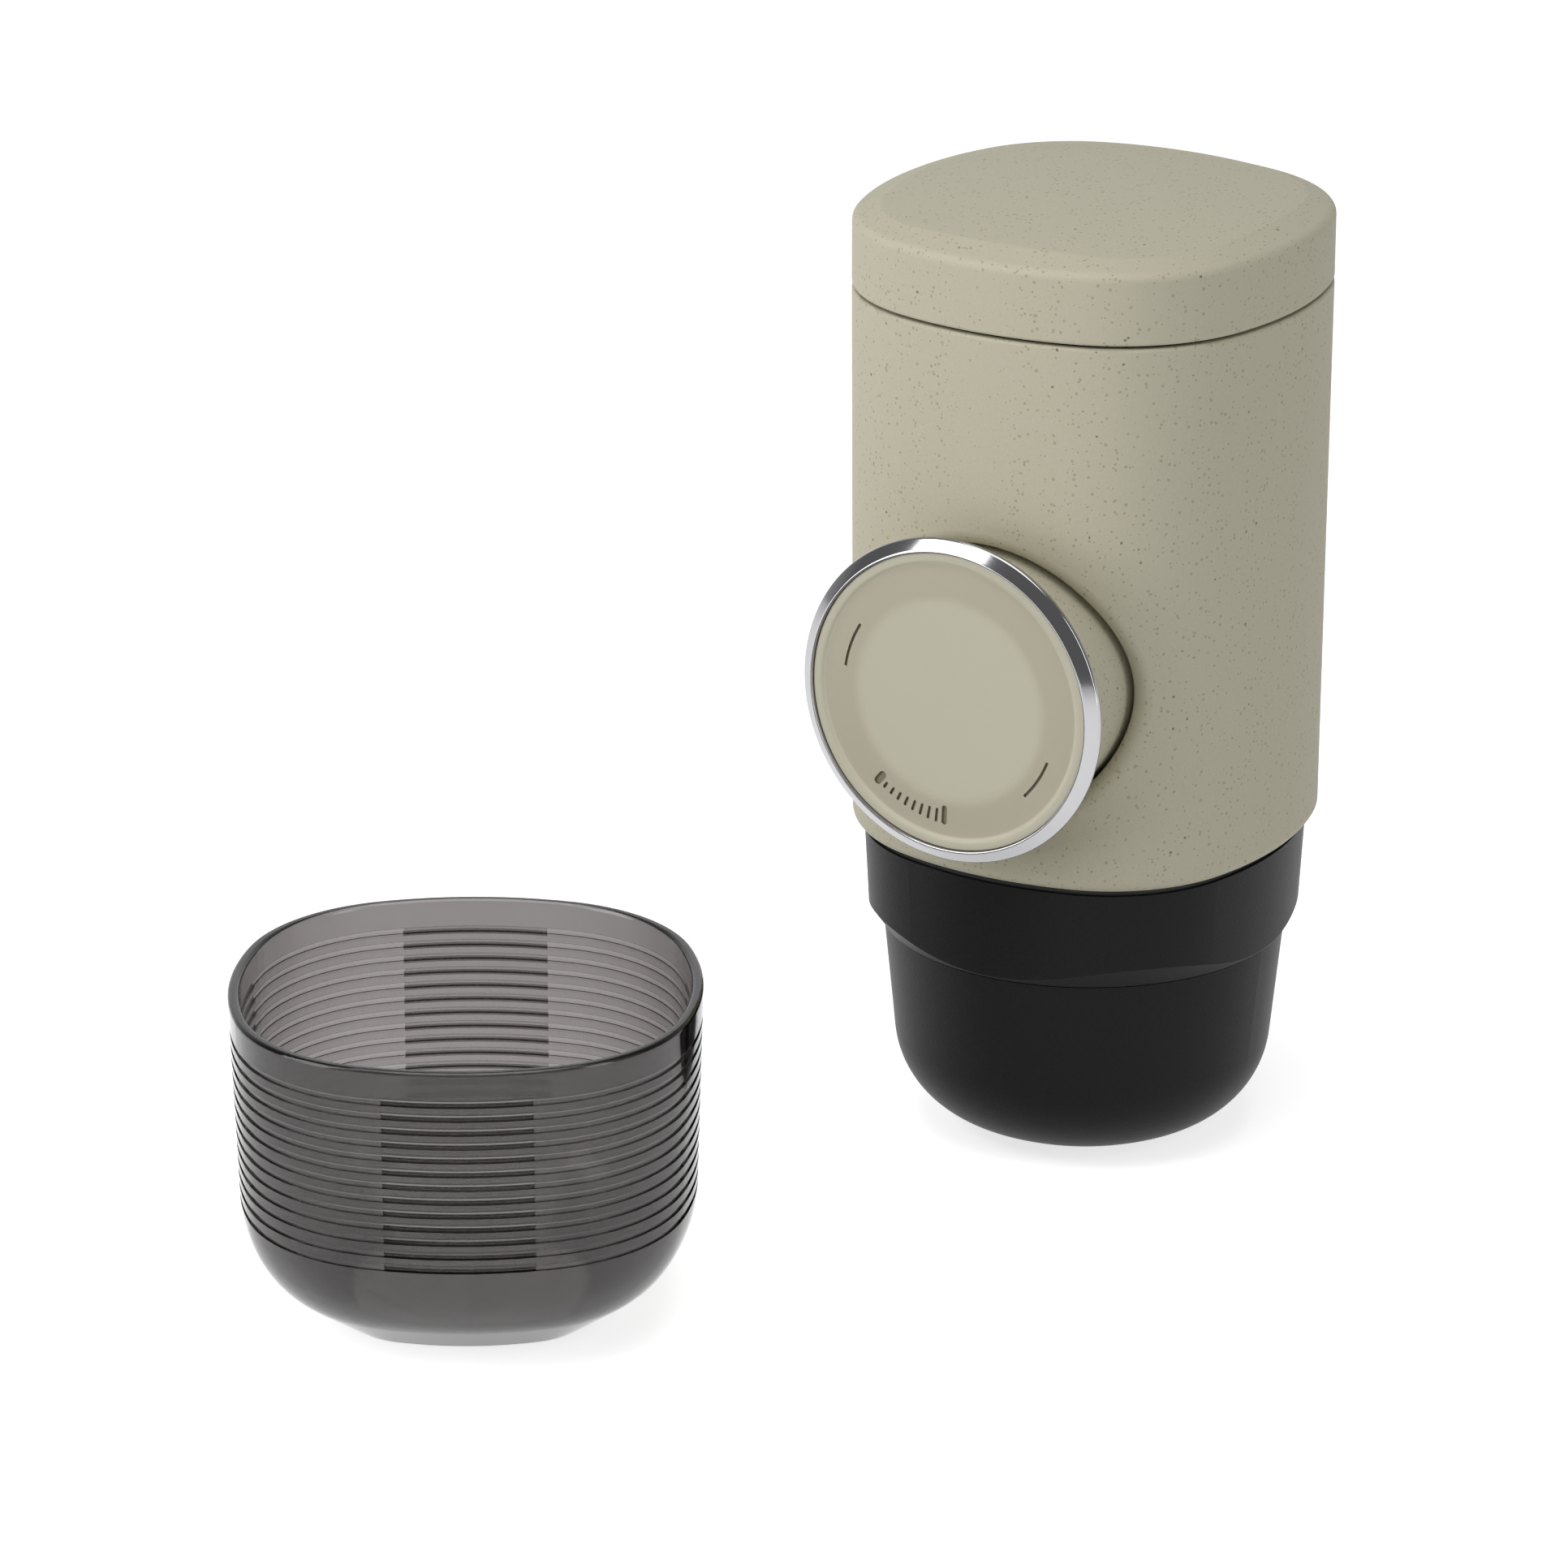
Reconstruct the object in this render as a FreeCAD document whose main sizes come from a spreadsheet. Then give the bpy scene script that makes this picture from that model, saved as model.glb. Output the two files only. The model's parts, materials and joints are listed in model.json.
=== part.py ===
import FreeCAD, Part
import math
import os

import Sketcher
from FreeCAD import Placement, Rotation, Vector

# Driving sizes in millimetres, angles in degrees. Heights run up from the flat foot, and a distance
# "out" runs from the upright axis of the maker towards its knob.
DRIVING_SIZES = {
    # How far a cut runs past the face it opens, and a pilot hole past its screw
    "overrun": 1.0,
    # The rounded-square section that body, lid, collar, tank and cup share
    "body_half": 32.0,
    "side_radius": 50.0,
    "corner_radius": 24.0,
    # Body shell
    "body_draft": 0.4,
    "body_wall": 2.2,
    "body_floor": 2.4,
    "body_round": 2.2,
    "seam_round": 0.5,
    "rim_step": 1.0,
    "boss_radius": 3.2,
    "boss_height": 5.5,
    # Lid and its plug
    "seam_gap": 0.4,
    "lid_side": 9.9,
    "lid_slope_rise": 1.7,
    "lid_slope_width": 4.8,
    "lid_crown": 1.5,
    "lid_wall": 2.0,
    "lid_shoulder_round": 1.4,
    "lid_edge_round": 0.8,
    "lid_gasket_thick": 0.8,
    "lid_gasket_inner": 25.2,
    "lid_gasket_outer": 28.0,
    "plug_plate_thick": 1.6,
    "plug_plate_rim": 0.4,
    "plug_skirt_wall": 1.9,
    "plug_skirt_length": 10.3,
    "lid_screw_circle": 17.0,
    "lid_boss_radius": 3.0,
    "vent_radius": 4.0,
    "vent_thick": 0.8,
    "vent_stem": 1.4,
    "vent_bead": 2.0,
    "vent_hole": 0.6,
    "vent_hole_circle": 2.7,
    # Water tank
    "tank_gap": 5.4,
    "tank_wall": 1.5,
    "tank_depth": 19.2,
    "tank_flange_thick": 1.6,
    "neck_radius": 25.0,
    "neck_wall": 1.6,
    "neck_plate_thick": 2.0,
    "neck_depth": 9.0,
    "strainer_radius": 4.5,
    "strainer_thick": 1.3,
    "strainer_hole": 0.45,
    "strainer_hole_circle": 1.2,
    "part_clearance": 0.3,
    # Knob recess in the body
    "knob_rise": 28.9,
    "recess_radius": 20.0,
    "recess_wall": 2.0,
    "recess_floor_out": 10.0,
    "recess_lip_round": 2.0,
    # Knob
    "knob_out": 40.5,
    "ring_radius": 23.3,
    "ring_width": 1.9,
    "ring_bevel": 1.1,
    "ring_thick": 1.9,
    "skirt_radius": 19.4,
    "skirt_wall": 1.8,
    "skirt_clearance": 2.0,
    "flare_radius": 22.6,
    "flare_depth": 2.6,
    "flare_lip": 0.4,
    "knob_plate_thick": 3.5,
    "knob_face_inset": 0.4,
    "knob_face_thick": 1.1,
    "knob_groove_outer": 19.9,
    "knob_groove_inner": 14.5,
    "knob_groove_depth": 0.4,
    "knob_dish_depth": 0.25,
    "knob_boss_radius": 6.0,
    "knob_boss_length": 5.5,
    # Pump
    "stroke": 20.0,
    "bore_radius": 10.0,
    "cylinder_wall": 2.0,
    "cylinder_in": 25.0,
    "pump_flange_radius": 18.0,
    "pump_flange_thick": 4.0,
    "pump_screw_circle": 15.0,
    "piston_length": 4.0,
    "piston_in": 22.0,
    "piston_clearance": 0.3,
    "stroke_clearance": 0.4,
    "seal_width": 1.6,
    "seal_depth": 1.5,
    "rod_radius": 3.0,
    "stub_radius": 2.0,
    "running_gap": 0.05,
    "piston_spring_radius": 9.0,
    "piston_spring_wire": 1.2,
    # Pump housing with its two valves
    "port_in": 23.0,
    "port_radius": 1.5,
    "housing_half_width": 13.5,
    "housing_front_in": 16.0,
    "housing_foot_step": 2.0,
    "housing_foot_half_width": 8.0,
    "housing_foot_thick": 8.7,
    "housing_foot_out": 3.5,
    "housing_screw_x": 5.2,
    "housing_screw_in": 10.0,
    "cylinder_gasket_thick": 0.8,
    "valve_bore": 3.2,
    "ball_radius": 2.6,
    "ball_gap": 0.02,
    "inlet_depth": 7.5,
    "inlet_seat_thick": 3.7,
    "inlet_seat_bore": 1.8,
    "tank_seal_radius": 4.0,
    "tank_seal_thick": 1.0,
    "outlet_roof": 2.3,
    "outlet_plug_thick": 3.5,
    "duct_rise": 2.2,
    "duct_radius": 1.3,
    "valve_spring_radius": 2.2,
    "valve_spring_wire": 0.4,
    # Collar and brew group
    "collar_bottom": 30.5,
    "collar_height": 14.6,
    "collar_inset": 2.1,
    "collar_draft": 0.8,
    "collar_cone_radius": 28.9,
    "collar_cone_rise": 1.4,
    "collar_ledge_rise": 8.5,
    "collar_ledge_bore": 18.6,
    "gasket_gap": 0.8,
    "body_gasket_inset": 2.7,
    "group_flange_thick": 2.5,
    "group_flange_radius": 24.0,
    "group_clearance": 0.3,
    "group_rise": 3.0,
    "collar_screw_circle": 21.6,
    "piercing_radius": 13.0,
    "piercing_thick": 1.2,
    "spike_circle": 3.0,
    "spike_radius": 1.1,
    "spike_length": 6.0,
    "spike_tip_radius": 0.1,
    "group_gasket_thick": 1.0,
    "group_gasket_inner": 8.0,
    # Capsule holder and outlet head
    "holder_seat": 13.5,
    "holder_flange_radius": 20.0,
    "holder_flange_thick": 2.0,
    "chamber_mouth_radius": 15.3,
    "chamber_top_radius": 12.2,
    "holder_wall": 1.6,
    "holder_top_thick": 1.5,
    "holder_hole": 6.0,
    "capsule_rim_radius": 18.9,
    "capsule_rim_thick": 1.0,
    "plate_thick": 0.8,
    "plate_hole": 0.6,
    "plate_hole_circle": 4.25,
    "head_seam": 0.2,
    "head_spigot_radius": 24.0,
    "head_gasket_thick": 1.0,
    "dome_radius": 28.7,
    "dome_lower_radius": 26.2,
    "dome_lower_height": 5.3,
    "dome_round": 14.0,
    "foot_radius": 14.5,
    "foot_round": 14.0,
    "funnel_radius": 17.0,
    "funnel_bottom": 7.0,
    "nozzle_radius": 5.0,
    "nozzle_bore": 2.5,
    "nozzle_flange": 1.5,
    "nozzle_lift": 0.6,
    # Screws
    "screw_radius": 1.25,
    "screw_head_radius": 2.3,
    "screw_head_height": 1.6,
    "screw_hole_gap": 0.1,
    "screw_bite": 4.0,
    "knob_screw_bite": 9.0,
    # Cup
    "cup_x": -40.0,
    "cup_y": -100.0,
    "cup_turn": 31.0,
    "cup_height": 46.0,
    "cup_draft": 1.5,
    "cup_base_inset": 15.0,
    "cup_shoulder": 9.7,
    "cup_round": 15.0,
    "cup_foot_round": 1.5,
    "cup_wall": 1.6,
    "cup_wall_mitre": 0.7,
    "cup_lip_round": 0.6,
    "rib_depth": 0.3,
    "rib_pitch": 2.0,
    "rib_width": 1.2,
    "rib_top_margin": 3.0,
    "bar_depth": 0.7,
    "bar_half_width": 10.0,
}

SCREW_TURNS = (45, 135, 225, 315)
SPIKE_TURNS = (90, 210, 330)
STRAINER_TURNS = range(0, 360, 60)
PLATE_HOLE_RINGS = 3
PLATE_HOLES_PER_RING = 6
PISTON_SPRING_TURNS = 6
VALVE_SPRING_TURNS = 3
RIB_COUNT = 13
OUTWARD = Rotation(Vector(1, 0, 0), 90)
TOUCH = 1e-3

doc = FreeCAD.newDocument("espresso_maker")
sheet = doc.addObject("Spreadsheet::Sheet", "Sizes")


class Size:
    """A length that carries its value and the formula that ties it to the sheet."""

    def __init__(self, value, formula):
        self.value = float(value)
        self.formula = formula

    def __add__(self, other):
        other = as_size(other)
        return Size(self.value + other.value, f"({self.formula} + {other.formula})")

    def __sub__(self, other):
        other = as_size(other)
        return Size(self.value - other.value, f"({self.formula} - {other.formula})")

    def __mul__(self, other):
        other = as_size(other)
        return Size(self.value * other.value, f"({self.formula} * {other.formula})")

    def __truediv__(self, other):
        other = as_size(other)
        return Size(self.value / other.value, f"({self.formula} / {other.formula})")

    def __neg__(self):
        return Size(-self.value, f"(0 - {self.formula})")

    def root(self):
        return Size(math.sqrt(self.value), f"sqrt({self.formula})")

    __radd__ = __add__


def as_size(number):
    """A plain number as a size whose formula is the number itself."""
    return number if isinstance(number, Size) else Size(number, repr(float(number)))


def slope_angle(spread, rise):
    """The angle from upright of a face that moves sideways by spread over rise."""
    angle = math.degrees(math.atan2(spread.value, rise.value))
    return Size(angle, f"atan({spread.formula} / {rise.formula})")


class Sheet:
    """The driving sizes, each read as s.name."""

    def __init__(self, values):
        for row, (alias, value) in enumerate(values.items(), 1):
            sheet.set(f"A{row}", alias)
            sheet.set(f"B{row}", str(value))
            sheet.setAlias(f"B{row}", alias)
            setattr(self, alias, Size(value, f"Sizes.{alias}"))


s = Sheet(DRIVING_SIZES)
over = s.overrun
doc.recompute()


def bind(item, prop, size):
    """Tie one property of an object to its formula."""
    item.setExpression(prop, as_size(size).formula)


def place(item, x=0, y=0, z=0, rotation=None):
    """Stand an object at x, y, z, with each coordinate tied to its formula."""
    base = [as_size(size) for size in (x, y, z)]
    item.Placement = Placement(Vector(*[size.value for size in base]), rotation or Rotation())
    for axis, size in zip("xyz", base):
        bind(item, f"Placement.Base.{axis}", size)
    return item


def place_out(item, out=0):
    """Turn an object so that its own upright axis points out along the pump's axis."""
    return place(item, 0, -as_size(out), knob_height, OUTWARD)


def new_body(label):
    body = doc.addObject("PartDesign::Body", label)
    body.Label = label
    return body


def new_sketch(body, role, height=0):
    """A sketch on one of the body's own planes, lifted by height along the plane's normal."""
    sketch = body.newObject("Sketcher::SketchObject", f"{body.Label}_sketch")
    plane = next(item for item in body.Origin.OriginFeatures if item.Role == role)
    sketch.AttachmentSupport = [(plane, "")]
    sketch.MapMode = "FlatFace"
    height = as_size(height)
    sketch.AttachmentOffset = Placement(Vector(0, 0, height.value), Rotation())
    bind(sketch, "AttachmentOffset.Base.z", height)
    return sketch


def constrain(sketch, *arguments):
    return sketch.addConstraint(Sketcher.Constraint(*arguments))


def pin_point(sketch, geometry, position, x, y):
    """Fix a point of a sketch at x, y from the sketch's origin."""
    for kind, size, axis in (("DistanceX", as_size(x), -2), ("DistanceY", as_size(y), -1)):
        if size.formula == "0.0":
            constrain(sketch, "PointOnObject", geometry, position, axis)
        elif size.value < 0:
            index = constrain(sketch, kind, geometry, position, -1, 1, -size.value)
            bind(sketch, f"Constraints[{index}]", -size)
        else:
            index = constrain(sketch, kind, -1, 1, geometry, position, size.value)
            bind(sketch, f"Constraints[{index}]", size)


def corner_arc(before, corner, after, radius):
    """The arc that rounds a corner, and whether it runs anticlockwise."""
    into = (corner - before).normalize()
    away = (after - corner).normalize()
    turn = into.getAngle(away)
    anticlockwise = into.cross(away).z > 0
    reach = radius * math.tan(turn / 2)
    first = corner - into * reach
    last = corner + away * reach
    side = Vector(-into.y, into.x, 0) * (1 if anticlockwise else -1)
    centre = first + side * radius
    ends = [math.atan2(point.y - centre.y, point.x - centre.x) for point in (first, last)]
    if not anticlockwise:
        ends.reverse()
    circle = Part.Circle(centre, Vector(0, 0, 1), radius)
    return Part.ArcOfCircle(circle, *ends), first, last, anticlockwise


def outline(body, points, role="XZ_Plane", height=0):
    """A closed outline in a sketch. Each point is (x, y) or (x, y, radius of its round)."""
    sketch = new_sketch(body, role, height)
    count = len(points)
    corners = [Vector(as_size(point[0]).value, as_size(point[1]).value, 0) for point in points]
    markers = []
    for corner, point in zip(corners, points):
        marker = sketch.addGeometry(Part.Point(corner), True)
        pin_point(sketch, marker, 1, point[0], point[1])
        markers.append(marker)
    arcs = {}
    for index, point in enumerate(points):
        if len(point) == 3:
            before, after = corners[index - 1], corners[(index + 1) % count]
            arcs[index] = corner_arc(before, corners[index], after, as_size(point[2]).value)
    lines = []
    for index in range(count):
        following = (index + 1) % count
        start = arcs[index][2] if index in arcs else corners[index]
        end = arcs[following][1] if following in arcs else corners[following]
        lines.append(sketch.addGeometry(Part.LineSegment(start, end), False))
    for index in range(count):
        arriving, leaving, marker = lines[index - 1], lines[index], markers[index]
        if index not in arcs:
            constrain(sketch, "Coincident", arriving, 2, marker, 1)
            constrain(sketch, "Coincident", leaving, 1, marker, 1)
            continue
        shape, _, _, anticlockwise = arcs[index]
        arc = sketch.addGeometry(shape, False)
        near, far = (1, 2) if anticlockwise else (2, 1)
        constrain(sketch, "PointOnObject", marker, 1, arriving)
        constrain(sketch, "PointOnObject", marker, 1, leaving)
        constrain(sketch, "Tangent", arriving, 2, arc, near)
        constrain(sketch, "Tangent", leaving, 1, arc, far)
        radius = as_size(points[index][2])
        bound = constrain(sketch, "Radius", arc, radius.value)
        bind(sketch, f"Constraints[{bound}]", radius)
    return sketch


def turned(label, points):
    """A body turned about its own upright axis from an outline of (radius, height) points."""
    body = new_body(label)
    feature = body.newObject("PartDesign::Revolution", f"{label}_turn")
    sketch = outline(body, points)
    feature.Profile = sketch
    feature.ReferenceAxis = (sketch, ["V_Axis"])
    feature.Angle = 360
    body.Tip = feature
    return body


def ring(label, inner, outer, low, high):
    """A plain flat ring about the upright axis."""
    return turned(label, [(inner, low), (outer, low), (outer, high), (inner, high)])


def squircle(body, height, inset=0):
    """The rounded-square section of eight tangent arcs, drawn in by inset all round."""
    sketch = new_sketch(body, "XY_Plane", height)
    half, side, corner = (size - inset for size in (s.body_half, s.side_radius, s.corner_radius))
    shift = side - half
    reach = side.value - corner.value
    middle = (math.sqrt(2 * reach ** 2 - shift.value ** 2) - shift.value) / 2
    spread = math.atan2(middle, middle + shift.value)
    normal = Vector(0, 0, 1)
    arcs = []
    for quarter in range(4):
        turn = quarter * math.pi / 2
        centre = Vector(-shift.value * math.cos(turn), -shift.value * math.sin(turn), 0)
        side_circle = Part.Circle(centre, normal, side.value)
        arcs.append(sketch.addGeometry(Part.ArcOfCircle(side_circle, turn - spread, turn + spread), False))
        diagonal = turn + math.pi / 4
        centre = Vector(math.cos(diagonal), math.sin(diagonal), 0) * (middle * math.sqrt(2))
        corner_circle = Part.Circle(centre, normal, corner.value)
        start, end = turn + spread, turn + math.pi / 2 - spread
        arcs.append(sketch.addGeometry(Part.ArcOfCircle(corner_circle, start, end), False))
    for index, arc in enumerate(arcs):
        constrain(sketch, "Tangent", arc, 2, arcs[(index + 1) % 8], 1)
    for first, radius in ((0, side), (1, corner)):
        bound = constrain(sketch, "Radius", arcs[first], radius.value)
        bind(sketch, f"Constraints[{bound}]", radius)
        for later in arcs[first + 2::2]:
            constrain(sketch, "Equal", arcs[first], later)
    pin_point(sketch, arcs[0], 3, -shift, 0)
    pin_point(sketch, arcs[2], 3, 0, -shift)
    pin_point(sketch, arcs[4], 3, shift, 0)
    pin_point(sketch, arcs[6], 3, 0, shift)
    return sketch


def prism(label, low, high):
    """A rounded-square solid between two (height, inset) sections, drafted if the insets differ."""
    (low_height, low_inset), (high_height, high_inset) = [
        [as_size(size) for size in section] for section in (low, high)
    ]
    body = new_body(label)
    pad = body.newObject("PartDesign::Pad", f"{label}_pad")
    pad.Profile = squircle(body, low_height, low_inset)
    bind(pad, "Length", high_height - low_height)
    body.Tip = pad
    if low_inset.value == high_inset.value:
        return body
    doc.recompute()
    widens = low_inset.value > high_inset.value
    spread = low_inset - high_inset if widens else high_inset - low_inset
    draft = body.newObject("PartDesign::Draft", f"{label}_draft")
    draft.Base = (pad, faces_where(pad.Shape, is_round_face))
    draft.NeutralPlane = (pad, faces_where(pad.Shape, lies_at(low_height)))
    draft.Reversed = widens
    bind(draft, "Angle", slope_angle(spread, high_height - low_height))
    body.Tip = draft
    return body


def faces_where(shape, test):
    return [f"Face{index}" for index, face in enumerate(shape.Faces, 1) if test(face)]


def is_round_face(face):
    return face.Surface.TypeId == "Part::GeomCylinder"


def lies_at(height):
    return lambda face: not is_round_face(face) and abs(face.CenterOfMass.z - height.value) < TOUCH


def edges_where(shape, test):
    """The names of the edges all of whose sampled points pass the test."""
    names = []
    for index, edge in enumerate(shape.Edges, 1):
        if not edge.Degenerated and all(test(point) for point in edge.discretize(5)):
            names.append(f"Edge{index}")
    return names


def round_edges(body, radius, test):
    """Round the edges of a body that pass the test."""
    doc.recompute()
    base = body.Tip
    feature = body.newObject("PartDesign::Fillet", f"{body.Label}_round")
    feature.Base = (base, edges_where(base.Shape, test))
    bind(feature, "Radius", radius)
    body.Tip = feature
    return body


def at_height(height):
    return lambda point: abs(point.z - height.value) < TOUCH


def cylinder(label, radius, low, high, x=0, y=0):
    """An upright cylinder from low to high."""
    item = doc.addObject("Part::Cylinder", label)
    bind(item, "Radius", radius)
    bind(item, "Height", as_size(high) - low)
    return place(item, x, y, low)


def cylinder_out(label, radius, near, far, x=0, rise=0):
    """A cylinder along the pump's axis, from out = near to out = far."""
    item = doc.addObject("Part::Cylinder", label)
    bind(item, "Radius", radius)
    bind(item, "Height", as_size(far) - near)
    return place(item, x, -as_size(near), knob_height + rise, OUTWARD)


def box(label, x, y, z):
    """A box between pairs of limits."""
    item = doc.addObject("Part::Box", label)
    limits = [(as_size(low), as_size(high)) for low, high in (x, y, z)]
    for prop, (low, high) in zip(("Length", "Width", "Height"), limits):
        bind(item, prop, high - low)
    return place(item, *[low for low, _ in limits])


def fuse(label, items):
    feature = doc.addObject("Part::MultiFuse", label)
    feature.Shapes = items
    return feature


def cut(label, base, *tools):
    feature = doc.addObject("Part::Cut", label)
    feature.Base = base
    feature.Tool = tools[0] if len(tools) == 1 else fuse(f"{label}_tools", list(tools))
    return feature


def common(label, base, tool):
    feature = doc.addObject("Part::Common", label)
    feature.Base = base
    feature.Tool = tool
    return feature


def finish(label, base):
    """A body that takes a made shape as its base, so that its edges can be rounded."""
    body = new_body(label)
    doc.recompute()
    body.BaseFeature = base
    doc.recompute()
    return body


def around(radius, turns=SCREW_TURNS):
    """Places on a circle, as pairs of sizes."""
    for turn in turns:
        angle = math.radians(turn)
        yield radius * math.cos(angle), radius * math.sin(angle)


def screw(label, low, high, head_up, x=0, y=0):
    """A plain screw standing upright: low and high are the ends of its shank."""
    shank = cylinder(f"{label}_shank", s.screw_radius, low, high, x, y)
    head_low = as_size(high) if head_up else as_size(low) - s.screw_head_height
    head = cylinder(f"{label}_head", s.screw_head_radius, head_low, head_low + s.screw_head_height, x, y)
    return fuse(label, [shank, head])


def compound(label, items):
    feature = doc.addObject("Part::Compound", label)
    feature.Links = items
    return feature


def arc_through(start, tangent, end):
    """The circular arc from start to end that leaves start along tangent."""
    chord = end - start
    along = Vector(chord).normalize()
    bulge = tangent - along * tangent.dot(along)
    angle = tangent.getAngle(chord)
    middle = (start + end) * 0.5 + bulge.normalize() * (chord.Length / 2 * math.tan(angle / 2))
    return Part.Arc(start, middle, end).toShape()


def coil_path(radius, low, high, turns):
    """A coil's centre line: two tangent arcs to each quarter turn."""
    quarters = turns * 4
    climb = (high - low) / quarters
    slope = climb / (math.pi / 2)

    def station(index):
        angle = index * math.pi / 2
        point = Vector(radius * math.cos(angle), radius * math.sin(angle), low + climb * index)
        tangent = Vector(-radius * math.sin(angle), radius * math.cos(angle), slope)
        return point, tangent.normalize()

    edges = []
    for index in range(quarters):
        start, leaving = station(index)
        end, arriving = station(index + 1)
        span = end - start
        lean = span.dot(leaving + arriving)
        spread = 2 * (1 - leaving.dot(arriving))
        reach = (math.sqrt(lean ** 2 + spread * span.dot(span)) - lean) / spread
        joint = (start + leaving * reach + end - arriving * reach) * 0.5
        middle_tangent = (end - arriving * reach - start - leaving * reach).normalize()
        edges.append(arc_through(start, leaving, joint))
        edges.append(arc_through(joint, middle_tangent, end))
    return Part.Wire(edges), station(0)


def spring(label, radius, wire, low, high, turns):
    """A coil spring whose wire touches the planes low and high."""
    wire_radius = wire.value / 2
    bottom, top = low.value + wire_radius, high.value - wire_radius
    path, (start, tangent) = coil_path(radius.value, bottom, top, turns)
    section = Part.Wire(Part.Circle(start, tangent, wire_radius).toShape())
    pipe = Part.BRepOffsetAPI.MakePipeShell(path)
    pipe.add(section)
    pipe.build()
    pipe.makeSolid()
    item = doc.addObject("Part::Feature", label)
    item.Shape = pipe.shape()
    gap = (top - bottom) / turns - wire.value
    print(f"{label}: least gap between turns {gap:.2f} mm")
    return item


# Heights and distances that several pieces share
collar_top = s.collar_bottom + s.collar_height
body_bottom = collar_top + s.gasket_gap
floor_top = body_bottom + s.body_floor
knob_height = body_bottom + s.knob_rise
tank_floor = knob_height + s.recess_radius + s.recess_wall + s.tank_gap
tank_flange_low = tank_floor + s.tank_depth
flange_top = tank_flange_low + s.tank_flange_thick
body_top = flange_top + s.neck_plate_thick
lid_bottom = body_top + s.seam_gap
lid_shoulder = lid_bottom + s.lid_side
lid_slope_top = lid_shoulder + s.lid_slope_rise
lid_top = lid_slope_top + s.lid_crown
plate_low = body_top + s.lid_gasket_thick
plate_top = plate_low + s.plug_plate_thick
lid_screw_tip = plate_top + s.screw_bite
tank_inset = s.body_wall + s.part_clearance
flange_inset = s.body_wall - s.rim_step + s.part_clearance
floor_back = s.recess_floor_out - s.recess_wall
pump_flange_back = floor_back - s.pump_flange_thick
cylinder_radius = s.bore_radius + s.cylinder_wall
collar_ledge = s.collar_bottom + s.collar_ledge_rise
group_bottom = collar_ledge + s.group_rise
head_spigot_height = collar_ledge - s.head_gasket_thick
flange_low = body_bottom - s.group_flange_thick
flange_bore = s.group_flange_radius + s.group_clearance
screw_seat = collar_ledge + s.screw_head_height + s.part_clearance
screw_top = floor_top + s.screw_bite
hole_radius = s.screw_radius + s.screw_hole_gap
ring_inner = s.ring_radius - s.ring_width
ring_back = s.knob_out - s.ring_thick
flare_back = ring_back - s.flare_depth
flare_front = ring_back - s.flare_lip
knob_plate_front = ring_back + s.knob_face_inset
knob_plate_back = knob_plate_front - s.knob_plate_thick
knob_screw_seat = knob_plate_front - s.screw_head_height - s.part_clearance
piston_front = s.piston_length - s.piston_in
seal_low = (s.piston_length - s.seal_width) / 2 - s.piston_in
piston_radius = s.bore_radius - s.piston_clearance
rod_hole = s.rod_radius + s.running_gap
seal_floor = tank_floor - s.tank_seal_thick
inlet_seat = seal_floor - s.inlet_seat_thick
inlet_bottom = inlet_seat - s.inlet_depth
outlet_top = knob_height - cylinder_radius - s.outlet_roof
inlet_ball_height = (
    inlet_seat - s.ball_gap
    - (s.ball_radius * s.ball_radius - s.inlet_seat_bore * s.inlet_seat_bore).root()
)
outlet_ball_height = (
    outlet_top - s.ball_gap
    - (s.ball_radius * s.ball_radius - s.port_radius * s.port_radius).root()
)
outlet_plug_top = floor_top + s.outlet_plug_thick
duct_height = outlet_plug_top + s.duct_rise
housing_foot_top = floor_top + s.housing_foot_thick
housing_bottom = housing_foot_top - s.housing_foot_step
holder_top = group_bottom - s.group_gasket_thick
plate_seat = s.holder_seat - s.capsule_rim_thick - s.plate_thick
head_cavity = s.holder_flange_radius + s.part_clearance
nozzle_flange_radius = s.nozzle_radius + s.nozzle_flange
housing_screw_places = (-s.housing_screw_x, s.housing_screw_x)


def make_lid_shell():
    """Straight side, soft shoulder, sloping band and a slightly domed top over a hollow."""
    side = prism("lid_side", (lid_bottom, 0), (lid_shoulder, 0))
    round_edges(side, s.seam_round, at_height(lid_bottom))
    band_inset = s.lid_slope_width * (lid_top - lid_shoulder) / s.lid_slope_rise
    band = prism("lid_band", (lid_shoulder, 0), (lid_top, band_inset))
    top_half = s.body_half - s.lid_slope_width
    crown_radius = (top_half * top_half + s.lid_crown * s.lid_crown) / (s.lid_crown * 2)
    crown_centre = lid_top - crown_radius
    crown = doc.addObject("Part::Sphere", "lid_crown_ball")
    bind(crown, "Radius", crown_radius)
    place(crown, z=crown_centre)
    cavity_top = lid_shoulder + s.lid_wall * s.lid_slope_rise / s.lid_slope_width - s.lid_wall
    cavity = prism("lid_cavity", (lid_bottom - over, s.lid_wall), (cavity_top, s.lid_wall))
    bosses, pilots = [], []
    for x, y in around(s.lid_screw_circle):
        bosses.append(cylinder("lid_boss", s.lid_boss_radius, plate_top, cavity_top + over, x, y))
        pilots.append(cylinder("lid_pilot", hole_radius, plate_top, lid_screw_tip + over, x, y))
    hollow = cut("lid_hollow", cavity, *bosses)
    crowned = common("lid_crowned", fuse("lid_outer", [side, band]), crown)
    lid = finish("lid_shell", cut("lid_cut", crowned, hollow, *pilots))
    round_edges(lid, s.lid_shoulder_round, at_height(lid_shoulder))

    def on_crown_edge(point):
        off_centre = math.hypot(point.x, point.y, point.z - crown_centre.value)
        on_crown = abs(off_centre - crown_radius.value) < TOUCH
        return on_crown and math.hypot(point.x, point.y) > s.lid_screw_circle.value

    return round_edges(lid, s.lid_edge_round, on_crown_edge)


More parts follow.
